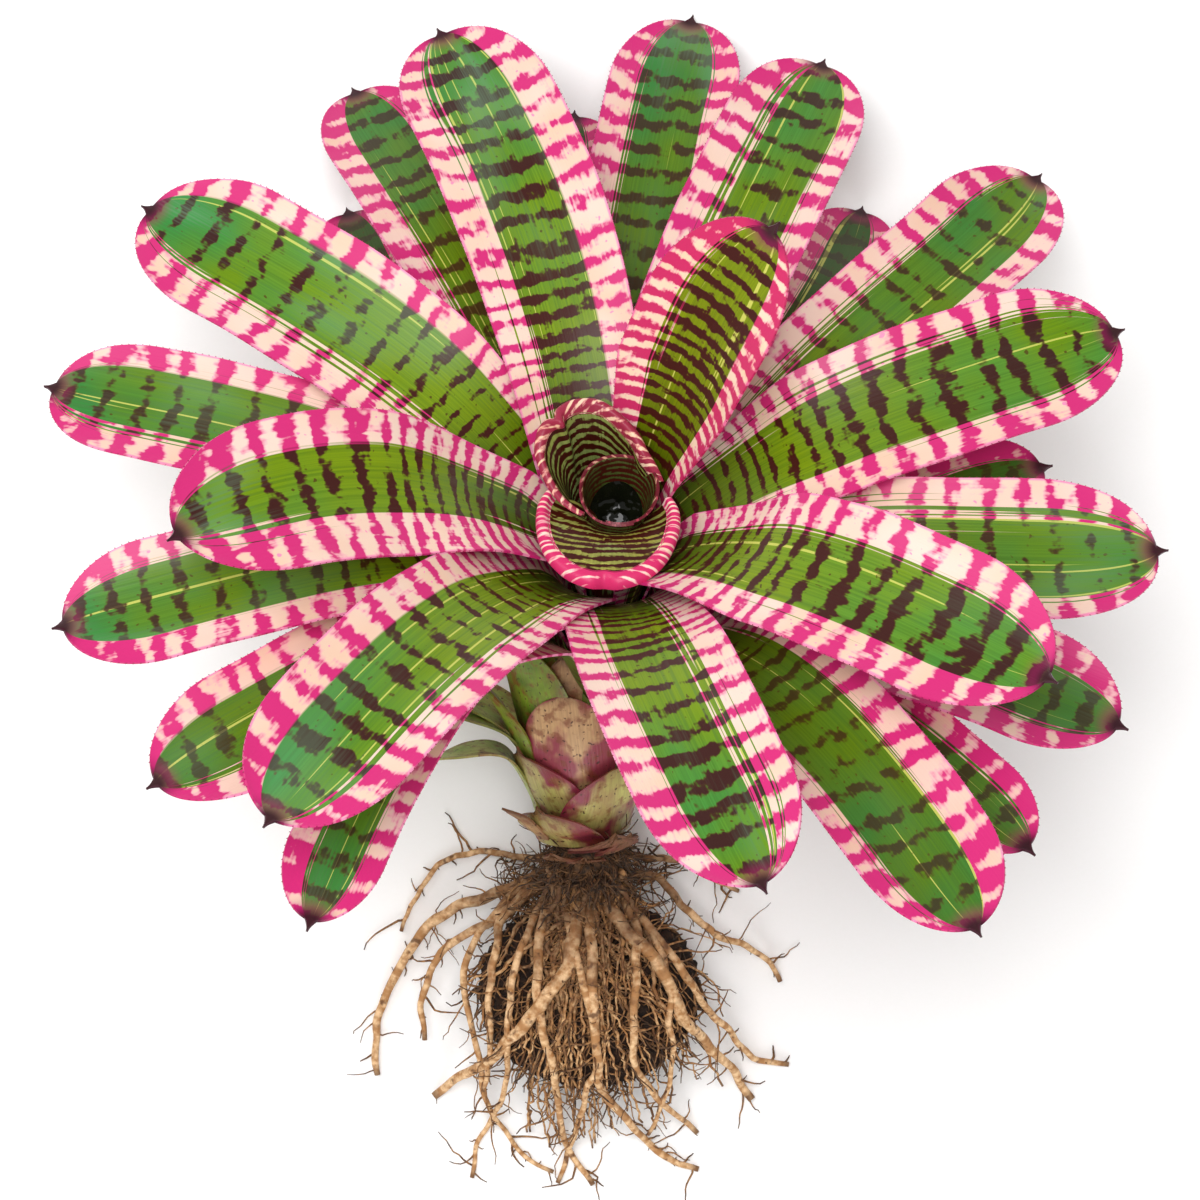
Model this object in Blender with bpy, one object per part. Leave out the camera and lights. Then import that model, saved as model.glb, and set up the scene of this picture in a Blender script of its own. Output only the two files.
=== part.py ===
"""A bare-rooted neoregelia bromeliad, laid down on a flat surface.

The plant leans on the tips of its back leaves and on its root ball. +Z is up, and +Y is the way
the rosette leans. Lengths are written in millimetres, and built in metres.
"""

import math
import random

import bmesh
import bpy
import numpy as np
from mathutils import Vector, noise

MM = 0.001
LEAF_THICKNESS = 1.0
TOUCHING_GAP = 0.3

# The rosette: its axis leans back from the vertical, and its heights are measured from its mouth.
LEAN = math.radians(40.0)
MOUTH = (2.8, 39.6, 142.0)
FIRST_NODE_HEIGHT = -64.0
NODE_PITCH = 2.6
SHEATH_ANGLE = math.radians(42.0)

# Near the axis a leaf is part of a ring, and beyond these radii it is a blade, rolled to face up.
BASE_ANGLE = 74.0
RING_RADIUS = 30.0
BLADE_RADIUS = 80.0
BLADE_ROLL = math.radians(24.0)
ROLL_LOST_PER_LEAF = 0.036

# A blade is a shallow channel with a neck, a broad middle, a round end and a short spike.
CHANNEL_DEPTH = 0.17
NECK_WIDTH = 0.70
WIDEST_AT = 0.66
ROUND_END = 1.5
SPIKE_LENGTH = 4.0
SPIKE_WIDTH = 1.3
COLUMNS = (-1.0, -0.5, 0.0, 0.5, 1.0)

# Youngest first: the azimuth, reach and rise of the tip, the full width, how far the blade swings
# sideways on its way out, the radius and height where it leaves the tank, and the angles at exit
# and tip.
LEAVES = (
    ("leaf_01", 38.2, 75.0, 85.0, 57.0, -6.8, 26.0, 2.0, 62.0, 44.0),
    ("leaf_02", 203.2, 161.0, 45.0, 55.0, 15.0, 27.0, -16.0, 44.0, 8.0),
    ("leaf_03", 322.0, 188.5, 34.0, 56.0, 2.4, 28.2, -18.0, 46.0, 2.0),
    ("leaf_04", 107.2, 214.3, 25.0, 55.0, 5.0, 29.4, -18.0, 50.0, -2.0),
    ("leaf_05", 237.1, 206.0, 30.0, 54.0, 2.1, 30.6, -25.0, 46.0, 2.0),
    ("leaf_06", 18.5, 193.7, 15.0, 53.0, 9.0, 31.8, -20.0, 44.0, -4.0),
    ("leaf_07", 144.1, 209.0, 15.0, 55.0, -3.0, 33.0, -22.0, 44.0, -4.0),
    ("leaf_08", 284.9, 199.0, 20.0, 53.0, 7.5, 34.2, -25.0, 44.0, -4.0),
    ("leaf_09", 67.9, 215.6, 14.0, 50.0, 2.9, 35.4, -24.0, 44.0, -4.0),
    ("leaf_10", 196.8, 200.0, -8.0, 46.0, -5.8, 36.6, -26.0, 42.0, -8.0),
    ("leaf_11", 355.5, 197.0, -16.0, 53.0, 14.0, 37.8, -33.0, 38.0, -8.0),
    ("leaf_12", 114.8, 230.0, -9.7, 44.0, -2.8, 39.0, -29.0, 42.0, -8.0),
    ("leaf_13", 240.7, 204.0, -20.0, 34.0, 10.0, 40.2, -31.0, 38.0, -10.0),
    ("leaf_14", 44.6, 226.0, -5.0, 48.0, 12.0, 41.4, -32.0, 42.0, -6.0),
    ("leaf_15", 164.3, 210.0, -10.0, 46.0, -5.8, 42.6, -33.0, 40.0, -8.0),
    ("leaf_16", 303.0, 224.5, -9.0, 48.0, -5.6, 43.8, -43.0, 38.0, -2.0),
    ("leaf_17", 82.0, 232.0, 8.0, 48.0, -3.0, 45.0, -36.0, 44.0, 0.0),
    ("leaf_18", 216.3, 194.5, -24.0, 47.0, -4.0, 46.2, -42.0, 36.0, -8.0),
    ("leaf_19", 334.2, 198.5, -28.0, 46.0, 2.0, 47.4, -47.0, 34.0, -8.0),
    ("leaf_20", 119.5, 200.0, -38.9, 36.0, -14.0, 48.6, -43.0, 34.0, -12.0),
    ("leaf_21", 61.1, 199.3, -38.5, 36.0, 13.0, 49.8, -44.0, 34.0, -12.0),
    ("leaf_22", 317.1, 197.4, -36.0, 34.0, -4.0, 51.0, -52.0, 32.0, -8.0),
    ("leaf_23", 93.5, 202.5, -15.2, 36.0, -6.0, 52.2, -46.0, 36.0, -6.0),
    ("leaf_24", 11.1, 162.0, -24.0, 36.0, 6.0, 54.0, -58.0, 32.0, -6.0),
)

# The short leaves of the cup: node, azimuth, exit and tip as radius and height, half width, angles.
CUP_LEAVES = (
    ("cup_back", 2, 134.0, (17.2, -10.0), (29.0, 19.0), 52.0, 106.0, 76.0, 54.0),
    ("cup_front", 1, 268.0, (23.0, -9.5), (43.0, 0.5), 30.0, 76.0, 64.0, -20.0),
)
# The closed tube in the middle: radius and height up its wall, from the middle of its bottom.
TUBE_PROFILE = ((4.4, -53.0), (6.2, -40.0), (9.6, -20.0), (13.4, 2.0))
TUBE_SIDES = 24

# The stem runs down inside the leaf bases, then bends towards the crown of the roots.
STEM_ROUTE = ((-55.0, 3.6), (-60.0, 5.2), (-66.0, 7.0), (-90.0, 8.6), (-118.0, 10.2), (-128.0, 10.8))
STEM_BEND = ((-4.0, -54.0, 39.5, 11.2), (-7.0, -68.0, 34.6, 11.6), (-6.0, -80.4, 31.4, 10.5))

# Old sheaths round the lower stem, on an axis of their own that points at the rosette.
STEM_AXIS_FOOT = (-5.0, -92.0, 30.0)
STEM_AXIS_LEAN = math.radians(74.0)
STEM_AXIS_TURN = math.radians(5.0)
SHEATHS = (
    ("sheath_bulb", 260.0, (13.4, 15.0), (22.0, 42.0), (22.5, 70.0), 20.0, 70.0, 82.0, 98.0),
    ("sheath_left", 212.0, (14.8, 11.0), (21.0, 30.0), (26.0, 46.0), 30.0, 66.0, 76.0, 74.0),
    ("sheath_right", 314.0, (16.6, 8.0), (23.0, 25.0), (26.0, 41.0), 40.0, 76.0, 74.0, 78.0),
    ("sheath_lower", 236.0, (17.95, 6.5), (25.4, 16.0), (30.0, 26.0), 34.0, 60.0, 68.0, 60.0),
    ("sheath_collar", 292.0, (19.2, 4.5), (26.8, 9.0), (30.5, 14.0), 34.0, 50.0, 56.0, 50.0),
    ("old_leaf_withered", 186.0, (17.0, 13.0), (26.0, 30.0), (60.0, 35.0), 8.0, 60.0, 60.0, -4.0),
    ("old_leaf_green", 158.0, (13.8, 20.0), (21.5, 44.0), (74.0, 66.0), 15.0, 50.0, 50.0, 10.0),
)

# The dark core of fine roots and soil: centre, half axes, and how rough it is.
CORE_CENTRE = (-4.0, -146.5, 19.0)
CORE_AXES = (42.0, 36.0, 24.0)
CORE_ROUGHNESS = 1.1
GUIDE_MARGIN = 4.2
GUIDE_EDGE = 0.93
GUIDE_FALL = 46.0

# The crown and its main roots, as they lie in plan: width at the crown, then points.
CROWN_CENTRE = (-5.0, -94.5, 30.0)
CROWN_RADIUS = 13.5
ROOT_SIDES = 6
MAIN_STEP = 8.5
ROOTS = (
    (2.6, (-24, -97), (-43, -95), (-58, -98), (-67, -108), (-72, -117), (-75, -125)),
    (4.6, (-24, -104), (-48, -113), (-63, -121), (-73, -135), (-82, -151), (-85, -166), (-84, -179)),
    (3.8, (-26, -108), (-44, -122), (-58, -130), (-64, -142), (-67, -154), (-66, -165)),
    (3.6, (-25, -109), (-36, -118), (-39, -132), (-41, -143), (-41, -157), (-41, -171), (-44, -184)),
    (5.8, (-9, -104), (-8, -115), (-11, -132), (-18, -144), (-30, -159), (-41, -171), (-52, -179), (-63, -187)),
    (5.6, (-1, -106), (7, -119), (18, -130), (25, -140), (31, -154), (39, -165), (49, -176), (57, -188)),
    (3.6, (6, -108), (24, -128), (37, -148), (48, -161), (58, -172), (71, -175)),
    (3.4, (8, -101), (21, -104), (32, -115), (43, -125), (55, -130), (64, -137), (68, -144)),
    (3.0, (9, -96), (30, -98), (43, -105), (52, -109)),
    (3.8, (-18, -108), (-23, -132), (-23, -146), (-21, -159), (-18, -173), (-16, -187), (-14, -201), (-8, -213), (-3, -220.5)),
    (3.2, (-13, -110), (-4, -150), (-1, -171), (-5, -182), (-7, -191), (-11, -206), (-16, -220)),
    (4.2, (-4, -110), (-3, -132), (-1, -164), (0, -180), (7, -191), (18, -205), (28, -212), (37, -215)),
    (3.6, (5, -107), (13, -122), (13, -140), (13, -154), (13, -171), (20, -184), (28, -193), (37, -201)),
    (2.8, (10, -110), (24, -134), (26, -159), (27, -171), (24, -187), (18, -201)),
    (2.8, (-20, -110), (-31, -134), (-34, -152), (-34, -169), (-35, -180), (-40, -194), (-47, -206), (-48, -218)),
    (2.8, (-26, -104), (-46, -126), (-51, -142), (-48, -157), (-45, -172), (-43, -186), (-36, -201), (-28, -210), (-17, -216)),
)

# Thinner roots between the main ones, drawn at random: how many, their sides, width and reach.
THIN_ROOTS = 7
THIN_SIDES = 4
THIN_STEP = 13.0
THIN_WIDTH = (1.7, 2.3)
THIN_REACH = (70.0, 118.0)
THIN_SEED = 5


def clear_scene():
    for obj in list(bpy.data.objects):
        bpy.data.objects.remove(obj)


def material(name, colour, roughness):
    made = bpy.data.materials.new(name)
    made.use_nodes = True
    shader = made.node_tree.nodes["Principled BSDF"]
    shader.inputs["Base Color"].default_value = (*colour, 1.0)
    shader.inputs["Roughness"].default_value = roughness
    shader.inputs["Metallic"].default_value = 0.0
    return made


def smoothstep(x):
    x = min(max(x, 0.0), 1.0)
    return x * x * (3.0 - 2.0 * x)


def direction(angle):
    return np.array((math.cos(math.radians(angle)), math.sin(math.radians(angle))))


def stem_radius(height):
    """The stem's radius at a height on the rosette's axis."""
    heights = [h for h, _ in reversed(STEM_ROUTE)]
    radii = [r for _, r in reversed(STEM_ROUTE)]
    return float(np.interp(height, heights, radii))


def cubic(start, start_angle, end, end_angle, reach, samples=120):
    """Points on a cubic curve that leaves and arrives at the given angles."""
    start, end = np.array(start), np.array(end)
    handle = reach * np.linalg.norm(end - start)
    first = start + handle * direction(start_angle)
    last = end - handle * direction(end_angle)
    t = np.linspace(0.0, 1.0, samples)[:, None]
    return (1 - t) ** 3 * start + 3 * (1 - t) ** 2 * t * first + 3 * (1 - t) * t**2 * last + t**3 * end


def midline(base, base_angle, leaving, leaving_angle, tip, tip_angle):
    """A leaf's midrib in its own upright plane: radius, height, slope and length, in two curves."""
    sheath = cubic(base, base_angle, leaving, leaving_angle, 0.36)
    blade = cubic(leaving, leaving_angle, tip, tip_angle, 0.38)
    points = np.vstack((sheath, blade[1:]))
    steps = np.gradient(points, axis=0)
    lengths = np.concatenate(([0.0], np.cumsum(np.linalg.norm(np.diff(points, axis=0), axis=1))))
    return points[:, 0], points[:, 1], np.arctan2(steps[:, 1], steps[:, 0]), lengths


def half_width(along, length, widest):
    """Half the leaf's width at a distance along its midrib."""
    end = length - SPIKE_LENGTH - along
    cap = ROUND_END * widest
    if end < 0.0:
        return SPIKE_WIDTH * (1.0 + 0.75 * end / SPIKE_LENGTH)
    swell = NECK_WIDTH + (1.0 - NECK_WIDTH) * smoothstep(along / length / WIDEST_AT)
    taper = math.sqrt(max(0.0, 1.0 - max(0.0, 1.0 - end / cap) ** 2))
    return max(SPIKE_WIDTH, widest * swell * taper)


def leaf_stations(length, widest):
    """Distances along the midrib where the leaf has a row of points."""
    cap = min(ROUND_END * widest, 0.6 * length)
    body = length - SPIKE_LENGTH - cap
    rows = [body * f for f in (0.0, 0.09, 0.18, 0.27, 0.36, 0.46, 0.58, 0.72, 0.87)]
    rows += [body + cap * f for f in (0.1, 0.5, 0.8, 0.95, 1.0)]
    return rows + [length]


def leaf_mesh(name, curve, widest, sheath_angle, sway=0.0, sway_from=0.0, roll=0.0):
    """The leaf's middle surface as a strip of quads, cut into triangles alike for both faces.

    Near the axis a cross-section is part of a ring, and further out it is a shallow channel that
    stands square to the midrib. The midrib swings sideways by the sway on its way out.
    """
    radii, heights, slopes, lengths = curve
    turns = sway * np.clip((radii - sway_from) / max(radii[-1] - sway_from, 1.0), 0.0, 1.0)
    spine = np.stack((radii * np.cos(turns), radii * np.sin(turns), heights), axis=1)
    tangents = np.gradient(spine, axis=0)
    total = lengths[-1]
    shape = bmesh.new()
    rows = []
    for along in leaf_stations(total, widest):
        at = [np.array([np.interp(along, lengths, values[:, i]) for i in range(3)]) for values in (spine, tangents)]
        radius, height, slope, turn = (float(np.interp(along, lengths, v)) for v in (radii, heights, slopes, turns))
        width = min(half_width(along, total, widest), sheath_angle * radius)
        tangent = Vector(at[1]).normalized()
        upward = Vector((-math.sin(slope) * math.cos(turn), -math.sin(slope) * math.sin(turn), math.cos(slope)))
        side = upward.cross(tangent).normalized()
        normal = tangent.cross(side)
        flat = smoothstep((radius - RING_RADIUS) / (BLADE_RADIUS - RING_RADIUS))
        tilt = roll * flat
        side, normal = side * math.cos(tilt) + normal * math.sin(tilt), normal * math.cos(tilt) - side * math.sin(tilt)
        row = []
        for across in COLUMNS:
            offset = across * width
            angle = turn + offset / radius
            ring = Vector((radius * math.cos(angle), radius * math.sin(angle), height))
            blade = Vector(at[0]) + side * offset + normal * (CHANNEL_DEPTH * width * across * across)
            row.append(shape.verts.new(ring.lerp(blade, flat) * MM))
        rows.append(row)
    for lower, upper in zip(rows, rows[1:]):
        for i in range(len(COLUMNS) - 1):
            shape.faces.new((lower[i], upper[i], upper[i + 1], lower[i + 1]))
    bmesh.ops.triangulate(shape, faces=shape.faces[:])
    mesh = bpy.data.meshes.new(name)
    shape.to_mesh(mesh)
    shape.free()
    return mesh


def add_object(name, mesh, finish, parent=None):
    obj = bpy.data.objects.new(name, mesh)
    bpy.context.scene.collection.objects.link(obj)
    obj.parent = parent
    mesh.materials.append(finish)
    return obj


def add_wall(obj, thickness):
    wall = obj.modifiers.new("wall", "SOLIDIFY")
    wall.thickness = thickness * MM
    wall.offset = 0.0


def add_axis(name, foot, lean, turn=0.0):
    axis = bpy.data.objects.new(name, None)
    bpy.context.scene.collection.objects.link(axis)
    axis.location = Vector(foot) * MM
    axis.rotation_euler = (-lean, 0.0, turn)
    return axis


def node_base(order):
    """Where a leaf's sheath starts: just off the stem, one pitch lower for each older leaf."""
    height = FIRST_NODE_HEIGHT - order * NODE_PITCH
    return stem_radius(height - LEAF_THICKNESS) + TOUCHING_GAP + LEAF_THICKNESS / 2, height


def add_rosette_leaf(order, entry, rosette, finish):
    name, azimuth, reach, rise, width, sway, exit_radius, exit_height, leaving_angle, tip_angle = entry
    leaving = (exit_radius, exit_height)
    roll = BLADE_ROLL * math.cos(math.radians(azimuth)) * (1.0 - ROLL_LOST_PER_LEAF * order)
    curve = midline(node_base(order), BASE_ANGLE, leaving, leaving_angle, (reach, rise), tip_angle)
    mesh = leaf_mesh(name, curve, width / 2, SHEATH_ANGLE, math.radians(sway), exit_radius, roll)
    leaf = add_object(name, mesh, finish, rosette)
    leaf.rotation_euler = (0.0, 0.0, math.radians(azimuth - sway))
    add_wall(leaf, LEAF_THICKNESS)


def add_cup_leaf(entry, rosette, finish):
    name, before_first, azimuth, leaving, tip, width, wrap, leaving_angle, tip_angle = entry
    curve = midline(node_base(-before_first), 80.0, leaving, leaving_angle, tip, tip_angle)
    mesh = leaf_mesh(name, curve, width, math.radians(wrap))
    leaf = add_object(name, mesh, finish, rosette)
    leaf.rotation_euler = (0.0, 0.0, math.radians(azimuth))
    add_wall(leaf, LEAF_THICKNESS)


def add_sheath(entry, stem_axis, finish):
    name, azimuth, base, leaving, tip, width, wrap, leaving_angle, tip_angle = entry
    curve = midline(base, 80.0, leaving, leaving_angle, tip, tip_angle)
    mesh = leaf_mesh(name, curve, width, math.radians(wrap))
    sheath = add_object(name, mesh, finish, stem_axis)
    sheath.rotation_euler = (0.0, 0.0, math.radians(azimuth))
    add_wall(sheath, LEAF_THICKNESS)


def add_cup_tube(rosette, finish):
    """A round wall with a closed bottom, spun about the rosette's axis."""
    shape = bmesh.new()
    turns = [2 * math.pi * k / TUBE_SIDES for k in range(TUBE_SIDES)]
    rings = [
        [shape.verts.new(Vector((radius * math.cos(a), radius * math.sin(a), height)) * MM) for a in turns]
        for radius, height in TUBE_PROFILE
    ]
    for lower, upper in zip(rings, rings[1:]):
        for k in range(TUBE_SIDES):
            shape.faces.new((lower[k], lower[(k + 1) % TUBE_SIDES], upper[(k + 1) % TUBE_SIDES], upper[k]))
    middle = shape.verts.new(Vector((0.0, 0.0, TUBE_PROFILE[0][1])) * MM)
    for k in range(TUBE_SIDES):
        shape.faces.new((middle, rings[0][(k + 1) % TUBE_SIDES], rings[0][k]))
    bmesh.ops.triangulate(shape, faces=shape.faces[:])
    mesh = bpy.data.meshes.new("cup_tube")
    shape.to_mesh(mesh)
    shape.free()
    add_wall(add_object("cup_tube", mesh, finish, rosette), LEAF_THICKNESS)


def tube_mesh(name, points, radii, sides):
    """A closed tube through the points, with a fan of faces at each end."""
    shape = bmesh.new()
    points = [Vector(p) for p in points]
    across = Vector((0.0, 0.0, 1.0))
    rings = []
    for i, (point, radius) in enumerate(zip(points, radii)):
        forward = (points[min(i + 1, len(points) - 1)] - points[max(i - 1, 0)]).normalized()
        across = (across - forward * across.dot(forward)).normalized()
        other = forward.cross(across)
        turns = [2 * math.pi * k / sides for k in range(sides)]
        rings.append([shape.verts.new((point + radius * (math.cos(a) * across + math.sin(a) * other)) * MM) for a in turns])
    for lower, upper in zip(rings, rings[1:]):
        for k in range(sides):
            shape.faces.new((lower[k], lower[(k + 1) % sides], upper[(k + 1) % sides], upper[k]))
    for ring, point, turned in ((rings[0], points[0], True), (rings[-1], points[-1], False)):
        middle = shape.verts.new(point * MM)
        for k in range(sides):
            pair = (ring[(k + 1) % sides], ring[k]) if turned else (ring[k], ring[(k + 1) % sides])
            shape.faces.new((middle, *pair))
    bmesh.ops.triangulate(shape, faces=shape.faces[:])
    bmesh.ops.recalc_face_normals(shape, faces=shape.faces[:])
    mesh = bpy.data.meshes.new(name)
    shape.to_mesh(mesh)
    shape.free()
    return mesh


def smooth_route(points, step):
    """Points about a step apart on a smooth curve through the given ones."""
    points = np.array(points, float)
    padded = np.vstack((2 * points[0] - points[1], points, 2 * points[-1] - points[-2]))
    route = [points[0]]
    for a, b, c, d in zip(padded, padded[1:], padded[2:], padded[3:]):
        count = max(1, round(np.linalg.norm(c - b) / step))
        for t in np.arange(1, count + 1) / count:
            route.append(0.5 * (2 * b + (c - a) * t + (2 * a - 5 * b + 4 * c - d) * t**2 + (3 * b - a - 3 * c + d) * t**3))
    return np.array(route)


def add_stem(finish):
    across = Vector((0.0, math.sin(LEAN), math.cos(LEAN)))
    points = [Vector(MOUTH) + across * height for height, _ in STEM_ROUTE] + [Vector(p[:3]) for p in STEM_BEND]
    radii = [radius for _, radius in STEM_ROUTE] + [p[3] for p in STEM_BEND]
    add_object("stem", tube_mesh("stem", points, radii, 20), finish)


def root_height(x, y, radius):
    """How high a root lies at a place in plan: over the core, then falling to the surface."""
    away = math.hypot(
        (x - CORE_CENTRE[0]) / (CORE_AXES[0] + GUIDE_MARGIN), (y - CORE_CENTRE[1]) / (CORE_AXES[1] + GUIDE_MARGIN)
    )
    top = CORE_CENTRE[2] + (CORE_AXES[2] + GUIDE_MARGIN) * math.sqrt(1.0 - min(away, GUIDE_EDGE) ** 2)
    return max(top - GUIDE_FALL * max(0.0, away - GUIDE_EDGE), radius + 0.2)


def add_core(finish):
    """A rough ball with a flat spot under it."""
    bpy.ops.mesh.primitive_ico_sphere_add(subdivisions=4, radius=1.0)
    core = bpy.context.object
    core.name = core.data.name = "root_core"
    for vertex in core.data.vertices:
        way = vertex.co.normalized()
        rough = CORE_ROUGHNESS * (noise.noise(way * 2.6) + 0.6 * noise.noise(way * 6.0))
        place = Vector((way[i] * (CORE_AXES[i] + rough) + CORE_CENTRE[i] for i in range(3)))
        place.z = max(place.z, 0.0)
        vertex.co = place * MM
    core.data.materials.append(finish)


def thin_root_plans():
    """Plans of the thinner roots: they fan out from the crown and wander a little."""
    draw = random.Random(THIN_SEED)
    for number in range(THIN_ROOTS):
        heading = math.radians(-158.0 + 134.0 * (number + draw.uniform(-0.3, 0.3)) / (THIN_ROOTS - 1))
        reach = draw.uniform(*THIN_REACH) * (0.62 + 0.38 * abs(math.sin(heading)))
        x, y = CROWN_CENTRE[0] + 14.0 * math.cos(heading), CROWN_CENTRE[1] + 14.0 * math.sin(heading)
        plan = [(x, y)]
        for _ in range(6):
            heading += draw.uniform(-0.22, 0.22) + 0.16 * (math.radians(-90.0) - heading)
            x, y = x + reach / 6 * math.cos(heading), y + reach / 6 * math.sin(heading)
            plan.append((x, y))
        yield draw.uniform(*THIN_WIDTH), plan


def add_roots(finish):
    """The crown and every main root, joined into one solid."""
    bpy.ops.mesh.primitive_uv_sphere_add(segments=20, ring_count=12, radius=CROWN_RADIUS * MM)
    crown = bpy.context.object
    crown.name = crown.data.name = "main_roots"
    crown.location = Vector(CROWN_CENTRE) * MM
    crown.data.materials.append(finish)
    pieces = bpy.data.collections.new("root_pieces")
    inner = Vector(CROWN_CENTRE)
    routes = [(width, plan, ROOT_SIDES, MAIN_STEP) for width, *plan in ROOTS]
    routes += [(width, plan, THIN_SIDES, THIN_STEP) for width, plan in thin_root_plans()]
    for number, (width, plan, sides, step) in enumerate(routes):
        flat = smooth_route(plan, step)
        reach = np.concatenate(([0.0], np.cumsum(np.linalg.norm(np.diff(flat, axis=0), axis=1))))
        radii = (0.5 * width * (1.0 - 0.55 * reach / reach[-1])).tolist()
        points = [Vector((x, y, root_height(x, y, r))) for (x, y), r in zip(flat.tolist(), radii)]
        start = inner + (points[0] - inner).normalized() * (2.0 + 0.31 * number)
        mesh = tube_mesh("root", [start, *points], [radii[0], *radii], sides)
        pieces.objects.link(bpy.data.objects.new("root", mesh))
    join = crown.modifiers.new("join", "BOOLEAN")
    join.operation = "UNION"
    join.operand_type = "COLLECTION"
    join.collection = pieces
    join.solver = "EXACT"
    bpy.context.view_layer.objects.active = crown
    bpy.ops.object.modifier_apply(modifier=join.name)
    for obj in list(pieces.objects):
        bpy.data.objects.remove(obj)
    bpy.data.collections.remove(pieces)


def main():
    clear_scene()
    blade = material("leaf_blade", (0.13, 0.30, 0.04), 0.35)
    husk = material("old_sheath", (0.45, 0.36, 0.20), 0.55)
    wood = material("root_bark", (0.50, 0.33, 0.17), 0.75)
    soil = material("root_soil", (0.05, 0.03, 0.02), 0.95)
    rosette = add_axis("rosette_axis", MOUTH, LEAN)
    stem_axis = add_axis("stem_axis", STEM_AXIS_FOOT, STEM_AXIS_LEAN, STEM_AXIS_TURN)
    for order, entry in enumerate(LEAVES):
        add_rosette_leaf(order, entry, rosette, blade)
    for entry in CUP_LEAVES:
        add_cup_leaf(entry, rosette, blade)
    add_cup_tube(rosette, blade)
    for entry in SHEATHS:
        add_sheath(entry, stem_axis, husk)
    add_stem(husk)
    add_core(soil)
    add_roots(wood)


main()
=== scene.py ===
# %% [markdown]
# # A neoregelia bromeliad, bare-rooted
# A tank bromeliad grows its leaves in one spiral. Their bases overlap into a cup that holds
# rain, and the blades arch outwards. This one is out of its pot and laid down, so its old
# sheaths and its roots show too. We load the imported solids, which give every place, and dress
# them with finer pieces.

# %% Load the frame
import functools
import math
import random

import bpy
import numpy as np
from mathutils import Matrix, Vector, noise


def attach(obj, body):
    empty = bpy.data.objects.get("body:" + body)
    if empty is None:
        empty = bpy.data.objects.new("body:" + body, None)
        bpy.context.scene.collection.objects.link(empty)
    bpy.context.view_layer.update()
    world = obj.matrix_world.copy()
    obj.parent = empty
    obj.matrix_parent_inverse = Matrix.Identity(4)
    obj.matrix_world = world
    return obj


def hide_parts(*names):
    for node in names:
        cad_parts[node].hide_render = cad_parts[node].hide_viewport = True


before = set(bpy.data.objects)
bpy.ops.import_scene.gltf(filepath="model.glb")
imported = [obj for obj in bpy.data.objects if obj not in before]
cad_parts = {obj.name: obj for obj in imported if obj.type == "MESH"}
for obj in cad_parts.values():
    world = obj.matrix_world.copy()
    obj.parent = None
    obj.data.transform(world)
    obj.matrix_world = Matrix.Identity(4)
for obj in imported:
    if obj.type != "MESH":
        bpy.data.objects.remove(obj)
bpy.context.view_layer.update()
bpy.ops.object.select_all(action="DESELECT")
MM = 0.001

# %% [markdown]
# ## Camera, floor and light
# The picture looks straight into the cup from about two metres, through a long lens. The plant
# lies on a pale floor, so the camera looks down. Wide lights and a bright sky keep shadows soft.

# %% Camera
CAMERA_HEIGHT = 1.942
FOCAL_LENGTH = 154.286
SENSOR_WIDTH = 36.0
PICTURE_WIDTH = 1200


def add_camera():
    bpy.ops.object.camera_add(location=(0.0, 0.0, CAMERA_HEIGHT), rotation=(0.0, 0.0, 0.0))
    camera = bpy.context.object
    camera.data.lens = FOCAL_LENGTH
    camera.data.sensor_width = SENSOR_WIDTH
    camera.data.clip_end = 20.0
    bpy.context.scene.camera = camera


add_camera()
pixel = CAMERA_HEIGHT / MM * SENSOR_WIDTH / FOCAL_LENGTH / PICTURE_WIDTH
print("one pixel on the floor is", round(pixel, 3), "mm")


# %% One function turns a web colour to linear light, and one adds a shader node
def colour(web):
    """A linear colour from the sRGB hex value that a picture editor shows."""
    parts = [int(web[i : i + 2], 16) / 255 for i in (1, 3, 5)]
    return (*[p / 12.92 if p <= 0.04045 else ((p + 0.055) / 1.055) ** 2.4 for p in parts], 1.0)


def fill(socket, value):
    """Links a socket to the one given, or sets it. A hex colour is made linear."""
    if isinstance(value, bpy.types.NodeSocket):
        socket.id_data.links.new(value, socket)
    else:
        socket.default_value = colour(value) if isinstance(value, str) else value


def add_node(tree, kind, inputs=(), **settings):
    """Adds a node, sets it, fills its inputs, and returns its first output in use.

    The inputs are in the node's own order, counting the ones in use, or they go by name.
    """
    node = tree.nodes.new("ShaderNode" + kind)
    for name, value in settings.items():
        setattr(node, name, value)
    in_use = [socket for socket in node.inputs if socket.enabled]
    if isinstance(inputs, dict):
        by_name = {socket.name: socket for socket in in_use}
        pairs = [(by_name[name], value) for name, value in inputs.items()]
    else:
        pairs = zip(in_use, inputs)
    for socket, value in pairs:
        fill(socket, value)
    return next((socket for socket in node.outputs if socket.enabled), node)


print("mid grey in linear light is", round(colour("#808080")[0], 3))


# %% What the paints share
def new_material(name):
    """An empty material, the function that adds its nodes, and its surface shader."""
    made = bpy.data.materials.new(name)
    made.use_nodes = True
    tree = made.node_tree
    return made, functools.partial(add_node, tree), tree.nodes["Principled BSDF"]


def finish_paint(node, shader, skin, roughness, height=None, strength=0.0, distance=0.0):
    """Gives the surface its colour, its roughness and low relief from a height."""
    fill(shader.inputs["Base Color"], skin)
    fill(shader.inputs["Roughness"], roughness)
    if height is not None:
        bump = node("Bump", {"Height": height, "Strength": strength, "Distance": distance})
        fill(shader.inputs["Normal"], bump)


def stored(node, name):
    """What the mesh stores at each point under a name: the vector, then its three numbers."""
    vector = node("Attribute", attribute_name=name).node.outputs["Vector"]
    return vector, *node("SeparateXYZ", (vector,)).node.outputs


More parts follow.
